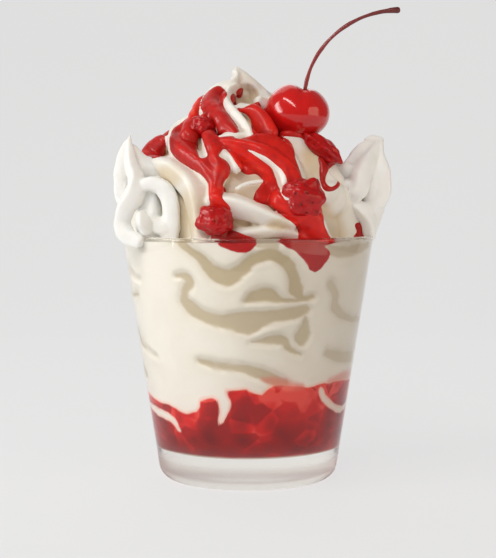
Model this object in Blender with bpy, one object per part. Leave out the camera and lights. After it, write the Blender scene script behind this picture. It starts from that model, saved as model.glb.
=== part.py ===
"""An ice cream sundae in its glass tumbler, in metres, +Z up.

The origin is the middle of the glass's foot. The front, with the big strawberry piece, faces -Y.
Turns are angles around Z in degrees, 0 at the front and 90 at +X. Heights of what stands above
the glass are measured from its rim.
"""

import math
from dataclasses import dataclass, replace

import bmesh
import bpy
from mathutils import Matrix, Vector

GAP = 0.0003  # air between pieces that touch
WELD = 1e-6
CUT = 0.00045  # how far a socket's cutter stands proud of the piece that sits in it

# The tumbler: straight walls that widen upwards, on a thick foot.
RIM_HEIGHT = 0.087
RIM_RADIUS = 0.045
TAPER = 0.156  # radius gained for each metre of height
RIM_WALL = 0.0018
LOW_WALL = 0.0025
FOOT_THICKNESS = 0.0108
FOOT_ROUND = 0.0045
WELL_ROUND = 0.012
GLASS_SIDES = 48
ROUND_STEPS = 3
LIP_ANGLES = (45, 90, 135)
SHARP_ANGLE = 50  # edges that turn by more than this stay sharp

# The filling: a strawberry layer at the bottom, soft serve above it up to the rim.
LAYER_HEIGHT = 0.0345
LAYER_WAVE = 0.0012
FILL_SIDES = 48
UNEVEN_RINGS = 3
SERVE_WALL = 0.5  # how far up the soft serve's wall its ring runs
FILL_TOP = 0.0855  # the soft serve's edge against the glass
CROWN_SINK = 0.0005

# The swirl above the rim: its outline is a dome whose middle shifts to -X towards the peak.
DOME_RADIUS = 0.0405
DOME_HEIGHT = 0.0605
DOME_SHOULDER = 2.4
DOME_TAPER = 1.3
DOME_SHIFT = -0.005
SHIFT_HEIGHT = 0.027
CORE_SINK = 0.0065  # the core lies this far inside the outline, under the folds
CORE_BOTTOM = -0.012
CORE_TOP = 0.86  # share of the dome's height that the core's side reaches
CORE_STEPS = 12
CORE_SIDES = 40
FOLD_STEPS = 14
SWIRL_VOXEL = 0.0011
SWIRL_TRIANGLES = 3500
SOFTENING = 4  # rounds of smoothing on a fused skin

CREAM = (0.88, 0.84, 0.76)
WHIP = (0.84, 0.84, 0.82)
BERRY = (0.42, 0.012, 0.015)
LAYER_RED = (0.55, 0.02, 0.02)
CHERRY_RED = (0.48, 0.01, 0.015)
STEM_RED = (0.16, 0.01, 0.02)
CLEAR = (0.9, 0.9, 0.9)


@dataclass
class Fold:
    """One ridge of the swirl, from its head down to its foot, on the dome's outline."""

    turn: tuple  # degrees, at the head and at the foot
    height: tuple  # above the rim, at the head and at the foot
    thick: tuple  # radius of the ridge, at the head and at the foot
    curl: float = 1.0  # under 1 turns first and then falls, over 1 falls first
    sink: float = 0.8  # how much of its radius lies inside the outline


@dataclass
class Dollop:
    """A piped dollop: a rope that coils up from its base and is pulled out into a peak."""

    centre: tuple
    base: float
    rope: float
    height: float
    coils: float
    start: float
    peak: tuple  # the tip, seen from the centre
    peak_rope: float


@dataclass
class Berry:
    """A cut piece of strawberry: its place, its three half sizes and how it lies."""

    place: tuple
    half: tuple
    tilt: tuple
    seed: int


FRONT_FOLDS = (
    Fold((-78, -48), (0.033, 0.003), (0.0040, 0.0085)),
    Fold((-54, -23), (0.033, -0.001), (0.0048, 0.0090), curl=0.6),
    Fold((-32, -15), (0.036, 0.020), (0.0028, 0.0045)),
    Fold((-15, -3), (0.032, 0.020), (0.0028, 0.0045)),
    Fold((-16, 26), (0.010, -0.006), (0.0065, 0.0090)),
    Fold((-6, 40), (0.033, 0.001), (0.0038, 0.0080), curl=0.8),
    Fold((36, 61), (0.033, 0.001), (0.0045, 0.0080), curl=1.8),
    Fold((66, 84), (0.029, 0.001), (0.0050, 0.0085)),
)
BACK_FOLD = Fold((96, 134), (0.033, 0.000), (0.0045, 0.0088), curl=0.9)
BACK_FOLDS = 5
BACK_STEP = 36
TOP_FOLDS = (
    Fold((-78, -40), (0.047, 0.034), (0.0030, 0.0048), sink=1.2),
    Fold((-50, -8), (0.051, 0.033), (0.0028, 0.0046), curl=1.2, sink=1.1),
    Fold((-5, 24), (0.054, 0.034), (0.0018, 0.0038), curl=1.4, sink=1.0),
    Fold((38, 40), (0.048, 0.034), (0.0022, 0.0045), sink=1.0),
    Fold((120, 70), (0.058, 0.036), (0.0012, 0.0055)),
    Fold((150, 130), (0.055, 0.034), (0.0022, 0.0055), sink=1.1),
    Fold((200, 175), (0.053, 0.034), (0.0026, 0.0055), sink=1.1),
    Fold((245, 222), (0.051, 0.034), (0.0028, 0.0055), sink=1.2),
)
PEAK = ((-0.0035, 0.0, 0.044, 0.0060), (-0.0030, 0.0, 0.052, 0.0035), (-0.0040, 0.0005, 0.0600, 0.0004))

# White tongues of soft serve that reach down into the strawberry layer: turn, depth, half width.
TONGUES = (
    (-78, 0.003, 10),
    (-34, 0.007, 9),
    (-13, 0.011, 5),
    (4, 0.0015, 6),
    (57, 0.008, 7),
    (100, 0.006, 9),
    (142, 0.009, 6),
    (178, 0.005, 10),
    (215, 0.010, 6),
    (250, 0.006, 9),
)

DOLLOPS = {
    "whipped_cream_left": Dollop(
        centre=(-0.0340, -0.0180, -0.0020),
        base=0.0060,
        rope=0.0068,
        height=0.0170,
        coils=1.6,
        start=200,
        peak=(-0.0065, -0.0010, 0.0380),
        peak_rope=0.0042,
    ),
    "whipped_cream_right": Dollop(
        centre=(0.0395, -0.0020, 0.0025),
        base=0.0052,
        rope=0.0068,
        height=0.0200,
        coils=1.5,
        start=20,
        peak=(0.0060, 0.0010, 0.0325),
        peak_rope=0.0050,
    ),
}

DOLLOP_VOXEL = 0.0007
DOLLOP_TRIANGLES = 620
COIL_STEPS = 10  # for each turn of a coil
COIL_CLOSING = 0.7  # share of its radius that a coil loses as it climbs
COIL_THINNING = 0.2  # share of the rope's thickness that goes on the way
PEAK_STEPS = 5
PEAK_END = 0.0003

CHERRY_PLACE = (0.0173, -0.0105, 0.0433)
CHERRY_HALF = (0.0113, 0.0108, 0.0095)
CHERRY_TILT = (8, 8)
CHERRY_DIMPLE = 0.0022
DIMPLE_SPREAD = 0.22  # of the cherry's radius
STEM_SHIFT = 0.0026  # how far the stem's foot lies to +X of the cherry's middle
STEM_RADIUS = 0.00065
STEM_TIP = 0.0011
STEM_REACH = (0.0320, 0.0280)  # how far the tip lies beside and above the foot of the stem
STEM_BEND = 88  # degrees that it turns on the way
STEM_LEAN = 0.14  # share of its sideways reach that it gains evenly
STEM_FLARE = 0.1  # share of its length that widens to the tip
STEM_STEPS = 14

BERRIES = {
    "strawberry_piece_front": Berry((0.0187, -0.0345, 0.0135), (0.0074, 0.0052, 0.0068), (10, 15, 8), 3),
    "strawberry_piece_left": Berry((-0.0110, -0.0400, 0.0060), (0.0060, 0.0045, 0.0052), (0, 10, -5), 5),
    "strawberry_piece_under_cherry": Berry((0.0256, -0.0150, 0.0306), (0.0082, 0.0042, 0.0034), (0, 38, 10), 7),
    "strawberry_piece_upper": Berry((-0.0152, -0.0203, 0.0376), (0.0044, 0.0034, 0.0036), (0, 25, 20), 9),
}
BERRY_SHARE = 0.4  # of a fine ball's triangles that a piece keeps


def clear_scene():
    for old in list(bpy.data.objects):
        bpy.data.objects.remove(old)


def finish(name, colour, roughness, metallic=0.0):
    """A Principled material."""
    material = bpy.data.materials.new(name)
    material.use_nodes = True
    shader = material.node_tree.nodes["Principled BSDF"]
    shader.inputs["Base Color"].default_value = (*colour, 1.0)
    shader.inputs["Roughness"].default_value = roughness
    shader.inputs["Metallic"].default_value = metallic
    return material


def add(name, mesh):
    piece = bpy.data.objects.new(name, mesh)
    bpy.context.collection.objects.link(piece)
    return piece


def dress(piece, material):
    piece.data.materials.clear()
    piece.data.materials.append(material)
    piece.data.shade_smooth()
    piece.data.set_sharp_from_angle(angle=math.radians(SHARP_ANGLE))


def mesh_of(name, builder):
    mesh = bpy.data.meshes.new(name)
    bmesh.ops.recalc_face_normals(builder, faces=builder.faces)
    builder.to_mesh(mesh)
    builder.free()
    return mesh


def settle(piece):
    """Turn the piece's modifiers into its own mesh."""
    graph = bpy.context.evaluated_depsgraph_get()
    mesh = bpy.data.meshes.new_from_object(piece.evaluated_get(graph))
    piece.modifiers.clear()
    piece.data = mesh


def helper(piece):
    piece.hide_render = True
    piece.display_type = "WIRE"
    return piece


def boolean(piece, other, operation, solver="EXACT"):
    modifier = piece.modifiers.new(operation.lower(), "BOOLEAN")
    modifier.solver = solver
    modifier.operation = operation
    modifier.object = other


def carve(piece, others, solver="EXACT"):
    """Cut sockets in the piece for its neighbours, each grown by CUT."""
    for other in others:
        cutter = helper(add(f"{piece.name} cutter {other.name}", other.data.copy()))
        grow = cutter.modifiers.new("grow", "DISPLACE")
        grow.strength = CUT
        grow.mid_level = 0.0
        settle(cutter)
        boolean(piece, cutter, "DIFFERENCE", solver)
        settle(piece)
    keep_largest(piece)


def keep_largest(piece):
    """Drop the crumbs that a cut leaves beside the main body."""
    builder = bmesh.new()
    builder.from_mesh(piece.data)
    todo = set(builder.verts)
    islands = []
    while todo:
        island = set()
        front = [todo.pop()]
        while front:
            vertex = front.pop()
            island.add(vertex)
            near = {edge.other_vert(vertex) for edge in vertex.link_edges} & todo
            todo -= near
            front.extend(near)
        islands.append(island)
    largest = max(islands, key=len)
    crumbs = [vertex for vertex in builder.verts if vertex not in largest]
    bmesh.ops.delete(builder, geom=crumbs, context="VERTS")
    builder.to_mesh(piece.data)
    builder.free()


def around(turn, radius, height):
    """A point at a turn around Z, where 0 is the front."""
    angle = math.radians(turn)
    return Vector((radius * math.sin(angle), -radius * math.cos(angle), height))


def outer_radius(height):
    return RIM_RADIUS - TAPER * (RIM_HEIGHT - height)


def inner_radius(height):
    share = (height - FOOT_THICKNESS) / (RIM_HEIGHT - FOOT_THICKNESS)
    return outer_radius(height) - (LOW_WALL + (RIM_WALL - LOW_WALL) * share)


def well_radius(height):
    """The glass's inside, with the round at the edge of its floor."""
    above = height - FOOT_THICKNESS
    wall = inner_radius(height)
    if above >= WELL_ROUND:
        return wall
    drop = WELL_ROUND - above
    return wall - (WELL_ROUND - math.sqrt(max(WELL_ROUND**2 - drop**2, 0.0)))


def fill_radius(height):
    """The outside of what fills the glass, a GAP off its wall and its floor."""
    return well_radius(height - GAP) - GAP


def turned(name, profile, sides):
    """A closed solid turned around Z from (radius, height) points, first and last on the axis."""
    builder = bmesh.new()
    line = [builder.verts.new((radius, 0.0, height)) for radius, height in profile]
    edges = [builder.edges.new(pair) for pair in zip(line, line[1:])]
    bmesh.ops.spin(
        builder,
        geom=line + edges,
        cent=(0, 0, 0),
        axis=(0, 0, 1),
        angle=2 * math.pi,
        steps=sides,
        use_merge=False,
    )
    bmesh.ops.remove_doubles(builder, verts=builder.verts, dist=WELD)
    return add(name, mesh_of(name, builder))


def make_glass():
    quarter = [math.radians(90 * step / ROUND_STEPS) for step in range(ROUND_STEPS + 1)]
    profile = [(0.0, 0.0)]
    foot = outer_radius(FOOT_ROUND)
    for angle in quarter:
        radius = foot - FOOT_ROUND * (1 - math.sin(angle))
        profile.append((radius, FOOT_ROUND * (1 - math.cos(angle))))
    lip = RIM_WALL / 2
    profile.append((RIM_RADIUS - TAPER * lip, RIM_HEIGHT - lip))
    for angle in LIP_ANGLES:
        bend = math.radians(angle)
        middle = RIM_RADIUS - lip
        profile.append((middle + lip * math.cos(bend), RIM_HEIGHT - lip + lip * math.sin(bend)))
    profile.append((inner_radius(RIM_HEIGHT - lip), RIM_HEIGHT - lip))
    for angle in reversed(quarter):
        height = FOOT_THICKNESS + WELL_ROUND * (1 - math.cos(angle))
        profile.append((well_radius(height), height))
    profile.append((0.0, FOOT_THICKNESS))
    return turned("glass", profile, GLASS_SIDES)


def layer_top(turn, share):
    """Height of the strawberry layer's top, by turn and by share of the radius."""
    dip = 0.0
    for middle, depth, half_width in TONGUES:
        off = (turn - middle + 180) % 360 - 180
        dip += depth * math.exp(-((off / half_width) ** 2))
    wave = LAYER_WAVE * math.sin(math.radians(5 * turn)) * share
    return LAYER_HEIGHT + wave - dip * share**3


def filled(name, floor_at, floor_rings, roof_at, roof_rings, wall_at):
    """A solid that fills the glass between two surfaces, a GAP off the wall, ringed at wall_at."""
    builder = bmesh.new()
    turns = [360 * side / FILL_SIDES for side in range(FILL_SIDES)]

    def surface(height_at, ring_count):
        rings = []
        for ring in range(1, ring_count + 1):
            share = ring / ring_count
            row = []
            for turn in turns:
                height = height_at(turn, share)
                reach = fill_radius(height_at(turn, 1.0))
                row.append(builder.verts.new(around(turn, reach * share, height)))
            rings.append(row)
        middle = builder.verts.new((0, 0, height_at(0, 0)))
        for one, two in zip(rings[0], rings[0][1:] + rings[0][:1]):
            builder.faces.new((middle, one, two))
        for low, high in zip(rings, rings[1:]):
            join(low, high)
        return rings[-1]

    def join(low, high):
        for side in range(FILL_SIDES):
            ahead = (side + 1) % FILL_SIDES
            builder.faces.new((low[side], low[ahead], high[ahead], high[side]))

    edge = surface(floor_at, floor_rings)
    spans = [wall_at(floor_at(turn, 1.0), roof_at(turn, 1.0)) for turn in turns]
    for heights in zip(*spans):
        ring = [
            builder.verts.new(around(turn, fill_radius(height), height))
            for turn, height in zip(turns, heights)
        ]
        join(edge, ring)
        edge = ring
    join(edge, surface(roof_at, roof_rings))
    return add(name, mesh_of(name, builder))


def make_strawberry_layer():
    def floor(_turn, _share):
        return FOOT_THICKNESS + GAP

    def roof(turn, share):
        return layer_top(turn, share) - GAP / 2

    def wall(bottom, _top):
        # Level with the rings of the glass's rounded floor, so that both have the same facets.
        bends = [math.radians(90 * step / ROUND_STEPS) for step in range(1, ROUND_STEPS + 1)]
        return [bottom + WELL_ROUND * (1 - math.cos(bend)) for bend in bends]

    return filled("strawberry_layer", floor, 1, roof, UNEVEN_RINGS, wall)


def dome_middle(height):
    share = min(max(height / SHIFT_HEIGHT, 0.0), 1.0)
    return DOME_SHIFT * share * share * (3 - 2 * share)


def dome_radius(height):
    share = min(max(height / DOME_HEIGHT, 0.0), 1.0)
    return DOME_RADIUS * (1 - share**DOME_SHOULDER) ** DOME_TAPER


def dome_point(turn, height, sink):
    """A point on the swirl's outline, moved in by sink."""
    radius = max(dome_radius(height) - sink, 0.0)
    return around(turn, radius, RIM_HEIGHT + height) + Vector((dome_middle(height), 0, 0))


def rope(name, points, sides=3, steps=2):
    """A tapering tube with round ends along (x, y, z, radius) points."""
    curve = bpy.data.curves.new(name, "CURVE")
    curve.dimensions = "3D"
    curve.bevel_depth = 1.0
    curve.bevel_resolution = sides
    curve.resolution_u = steps
    curve.use_fill_caps = True
    spline = curve.splines.new("NURBS")
    spline.points.add(len(points) - 1)
    spline.use_endpoint_u = True
    for target, (x, y, z, radius) in zip(spline.points, points):
        target.co = (x, y, z, 1.0)
        target.radius = radius
    return settle_curve(add(name, curve))


def settle_curve(piece):
    """Replace a curve object by a closed mesh object of the same name."""
    name = piece.name
    graph = bpy.context.evaluated_depsgraph_get()
    mesh = bpy.data.meshes.new_from_object(piece.evaluated_get(graph))
    bpy.data.objects.remove(piece)
    builder = bmesh.new()
    builder.from_mesh(mesh)
    bmesh.ops.remove_doubles(builder, verts=builder.verts, dist=WELD)
    builder.to_mesh(mesh)
    builder.free()
    return add(name, mesh)


def fold_points(fold):
    points = []
    for step in range(FOLD_STEPS + 1):
        share = step / FOLD_STEPS
        turn = fold.turn[0] + (fold.turn[1] - fold.turn[0]) * share**fold.curl
        height = fold.height[0] + (fold.height[1] - fold.height[0]) * share
        thick = fold.thick[0] + (fold.thick[1] - fold.thick[0]) * share
        points.append((*dome_point(turn, height, thick * fold.sink), thick))
    return points


def back_folds():
    for index in range(BACK_FOLDS):
        turn = tuple(end + BACK_STEP * index for end in BACK_FOLD.turn)
        yield replace(BACK_FOLD, turn=turn)


def merge(name, pieces):
    """Join meshes into one object, without their inner walls resolved."""
    builder = bmesh.new()
    for piece in pieces:
        builder.from_mesh(piece.data)
        bpy.data.objects.remove(piece)
    mesh = bpy.data.meshes.new(name)
    builder.to_mesh(mesh)
    builder.free()
    return add(name, mesh)


def fuse(piece, voxel, triangles):
    """Make one skin round overlapping bodies, soften its creases and thin it out."""
    remesh = piece.modifiers.new("skin", "REMESH")
    remesh.mode = "VOXEL"
    remesh.voxel_size = voxel
    soften = piece.modifiers.new("soften", "SMOOTH")
    soften.iterations = SOFTENING
    settle(piece)
    piece.data.calc_loop_triangles()
    thin = piece.modifiers.new("thin", "DECIMATE")
    thin.ratio = min(triangles / len(piece.data.loop_triangles), 1.0)
    settle(piece)


def core_profile():
    profile = [(0.0, RIM_HEIGHT + CORE_BOTTOM)]
    top = DOME_HEIGHT * CORE_TOP
    for step in range(CORE_STEPS + 1):
        height = CORE_BOTTOM + (top - CORE_BOTTOM) * step / CORE_STEPS
        profile.append((max(dome_radius(height) - CORE_SINK, 0.001), RIM_HEIGHT + height))
    profile.append((0.0, RIM_HEIGHT + top + 0.0006))
    return profile


def make_swirl():
    """The part of the soft serve above the rim: folds laid over a core."""
    core = turned("core", core_profile(), CORE_SIDES)
    for vertex in core.data.vertices:
        vertex.co.x += dome_middle(vertex.co.z - RIM_HEIGHT)
    bodies = [core]
    for index, fold in enumerate((*FRONT_FOLDS, *back_folds(), *TOP_FOLDS)):
        bodies.append(rope(f"fold {index}", fold_points(fold)))
    peak = [(x, y, RIM_HEIGHT + z, radius) for x, y, z, radius in PEAK]
    bodies.append(rope("peak", peak))
    swirl = merge("swirl", bodies)
    fuse(swirl, SWIRL_VOXEL, SWIRL_TRIANGLES)
    return helper(swirl)


def make_soft_serve():
    def floor(turn, share):
        return layer_top(turn, share) + GAP / 2

    def roof(_turn, share):
        return FILL_TOP - CROWN_SINK * (1 - share)

    def wall(bottom, top):
        return [bottom + (top - bottom) * SERVE_WALL]

    body = filled("soft_serve", floor, UNEVEN_RINGS, roof, 1, wall)
    boolean(body, make_swirl(), "UNION")
    settle(body)
    return body


def dollop_points(dollop):
    """The rope's path: coils that close in as they climb, then a straight pull to the tip."""
    middle = Vector(dollop.centre) + Vector((0, 0, RIM_HEIGHT))
    coil_steps = round(dollop.coils * COIL_STEPS)
    points = []
    for step in range(coil_steps + 1):
        share = step / coil_steps
        reach = dollop.base * (1 - COIL_CLOSING * share)
        spot = around(dollop.start + 360 * dollop.coils * share, reach, 0)
        spot.z = dollop.rope + (dollop.height - dollop.rope) * share
        points.append((*(middle + spot), dollop.rope * (1 - COIL_THINNING * share)))
    last = Vector(points[-1][:3])
    tip = middle + Vector(dollop.peak)
    for step in range(1, PEAK_STEPS + 1):
        share = step / PEAK_STEPS
        spot = last.lerp(tip, share)
        points.append((*spot, dollop.peak_rope * (1 - share) + PEAK_END))
    return points


def make_dollop(name, dollop):
    body = merge(name, [rope(f"{name} rope", dollop_points(dollop))])
    fuse(body, DOLLOP_VOXEL, DOLLOP_TRIANGLES)
    return body


def make_cherry():
    builder = bmesh.new()
    bmesh.ops.create_uvsphere(builder, u_segments=20, v_segments=12, radius=1.0)
    for vertex in builder.verts:
        x, y, z = vertex.co
        across = math.hypot(x, y)
        dimple = CHERRY_DIMPLE * math.exp(-((across / DIMPLE_SPREAD) ** 2)) if z > 0 else 0.0
        vertex.co = (x * CHERRY_HALF[0], y * CHERRY_HALF[1], z * CHERRY_HALF[2] - dimple)
    cherry = add("cherry", mesh_of("cherry", builder))
    cherry.location = Vector(CHERRY_PLACE) + Vector((0, 0, RIM_HEIGHT))
    cherry.rotation_euler = (math.radians(CHERRY_TILT[0]), math.radians(CHERRY_TILT[1]), 0)
    apply_place(cherry)
    return cherry


def apply_place(piece):
    """Bake the piece's place and turn into its mesh."""
    bpy.context.view_layer.update()
    piece.data.transform(piece.matrix_world)
    piece.matrix_world = Matrix.Identity(4)


def make_stem():
    """A thin stem that leaves the dimple steeply and bends over to the right."""
    foot_height = RIM_HEIGHT + CHERRY_HALF[2] - CHERRY_DIMPLE
    start = Vector(CHERRY_PLACE) + Vector((STEM_SHIFT, 0.0, foot_height))
    bend = math.radians(STEM_BEND)
    points = []
    for step in range(STEM_STEPS + 1):
        share = step / STEM_STEPS
        swing = (1 - math.cos(bend * share)) / (1 - math.cos(bend))
        beside = STEM_REACH[0] * (STEM_LEAN * share + (1 - STEM_LEAN) * swing)
        above = STEM_REACH[1] * math.sin(bend * share) / math.sin(bend)
        flare = (STEM_TIP - STEM_RADIUS) * max(share - 1 + STEM_FLARE, 0.0) / STEM_FLARE
        points.append((*(start + Vector((beside, 0.0, above))), STEM_RADIUS + flare))
    return rope("cherry_stem", points, sides=1, steps=1)


def make_berry(name, berry):
    """A rounded chunk with uneven faces."""
    builder = bmesh.new()
    bmesh.ops.create_icosphere(builder, subdivisions=3, radius=1.0)
    for vertex in builder.verts:
        x, y, z = vertex.co
        lump = 0.09 * math.sin(5.1 * x + berry.seed) * math.cos(4.3 * y - berry.seed)
        lump += 0.07 * math.sin(6.7 * z + 2 * berry.seed)
        vertex.co *= 1 + lump
    made = add(name, mesh_of(name, builder))
    made.scale = berry.half
    made.location = Vector(berry.place) + Vector((0, 0, RIM_HEIGHT))
    made.rotation_euler = [math.radians(angle) for angle in berry.tilt]
    apply_place(made)
    thin = made.modifiers.new("thin", "DECIMATE")
    thin.ratio = BERRY_SHARE
    settle(made)
    return made


def main():
    clear_scene()
    glass = make_glass()
    layer = make_strawberry_layer()
    soft_serve = make_soft_serve()
    dollops = [make_dollop(name, dollop) for name, dollop in DOLLOPS.items()]
    cherry = make_cherry()
    stem = make_stem()
    berries = [make_berry(name, berry) for name, berry in BERRIES.items()]

    # The folds' fine creases make the exact solver lose the body, and both meshes are closed.
    carve(soft_serve, [*dollops, cherry, *berries], solver="MANIFOLD")
    for dollop in dollops:
        carve(dollop, [glass, *berries])
    for berry in berries:
        carve(berry, [cherry])
    carve(cherry, [stem])

    dress(glass, finish("clear glass", CLEAR, 0.03))
    dress(layer, finish("strawberry layer", LAYER_RED, 0.3))
    dress(soft_serve, finish("soft serve", CREAM, 0.45))
    dress(cherry, finish("cherry", CHERRY_RED, 0.1))
    dress(stem, finish("cherry stem", STEM_RED, 0.4))
    for dollop in dollops:
        dress(dollop, finish(dollop.name, WHIP, 0.5))
    for berry in berries:
        dress(berry, finish(berry.name, BERRY, 0.2))


main()
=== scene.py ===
"""An ice cream sundae in a glass tumbler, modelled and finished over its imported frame.

The tumbler holds a strawberry layer and soft serve. Above the rim stand a swirl of soft serve under
strawberry sauce, two whipped dollops, four strawberry pieces and a cherry on its stem. Lengths are
metres, except where a name ends in _mm or a comment says mm. Turns are degrees around Z, 0 at the
front (-Y) and 90 at +X. Heights on the swirl are measured from the glass's rim.
"""

import logging
import math
from collections.abc import Callable, Iterator
from contextlib import contextmanager
from dataclasses import dataclass, field, replace
from enum import Enum

import bmesh
import bpy
import numpy as np
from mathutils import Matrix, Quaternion, Vector, noise


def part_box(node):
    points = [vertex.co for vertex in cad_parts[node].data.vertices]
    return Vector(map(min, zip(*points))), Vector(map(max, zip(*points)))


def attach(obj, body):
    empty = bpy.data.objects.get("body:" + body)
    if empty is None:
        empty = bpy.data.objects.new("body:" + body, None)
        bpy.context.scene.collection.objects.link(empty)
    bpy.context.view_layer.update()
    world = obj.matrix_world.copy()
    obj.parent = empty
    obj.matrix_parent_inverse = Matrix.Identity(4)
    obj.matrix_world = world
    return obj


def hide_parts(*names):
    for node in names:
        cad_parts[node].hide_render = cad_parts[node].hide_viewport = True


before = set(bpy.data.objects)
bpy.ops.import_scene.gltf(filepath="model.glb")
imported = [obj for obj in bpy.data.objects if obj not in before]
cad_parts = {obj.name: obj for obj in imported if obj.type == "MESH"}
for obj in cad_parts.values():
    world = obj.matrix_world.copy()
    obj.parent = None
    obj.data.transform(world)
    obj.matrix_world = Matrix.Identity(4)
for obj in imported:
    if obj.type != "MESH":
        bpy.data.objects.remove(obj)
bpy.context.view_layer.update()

Array = np.ndarray
Piece = bpy.types.Object
Colour = tuple[float, float, float]

log = logging.getLogger("sundae")
MM = 0.001

GLASS_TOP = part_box("glass")[1]
RIM_HEIGHT = GLASS_TOP.z
RIM_RADIUS = GLASS_TOP.x
TAPER = 0.156  # radius that the tumbler gains for each metre of height
RIM_WALL = 0.0018
LOW_WALL = 0.0025  # the wall's thickness at the glass's floor
FOOT_THICKNESS = 0.0108
FOOT_ROUND = 0.0045
WELL_ROUND = 0.012
FILL_TOP = 0.0855

WELD = 1e-6  # vertices closer than this are one
LEVEL_SLACK = 1e-5  # how far off a level its edges and faces may lie
TINY = 1e-12  # keeps a division from running into nothing
LEAST_REACH = 1e-6  # and keeps points on the axis where they are
FAR_MM = 1e3  # further than any edge
EDGE_LIMIT_MM = 9  # how far from an edge a stored distance still counts
ROUGH_SEED = 3.7
LEAN_OUT = 0.9  # how fast the swirl may widen just above the rim
FLARE_OUT = 30.0  # and how much faster further up, for each metre
CREASE_ROUNDS = 40
CREASE_DEPTH = 0.0011  # where creases take their full painted shade


class Slot(Enum):
    """The record's material slots."""

    GLASS = "glass"
    SAUCE = "strawberry_sauce"
    SOFT_SERVE = "soft_serve"
    WHIPPED = "whipped_cream"
    CHERRY = "cherry"
    STEM = "cherry_stem"
    STRAWBERRY = "strawberry"


class Elements(Enum):
    """What edit mode picks."""

    EDGES = "EDGE"
    FACES = "FACE"


# ---------- The workbench ----------


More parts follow.
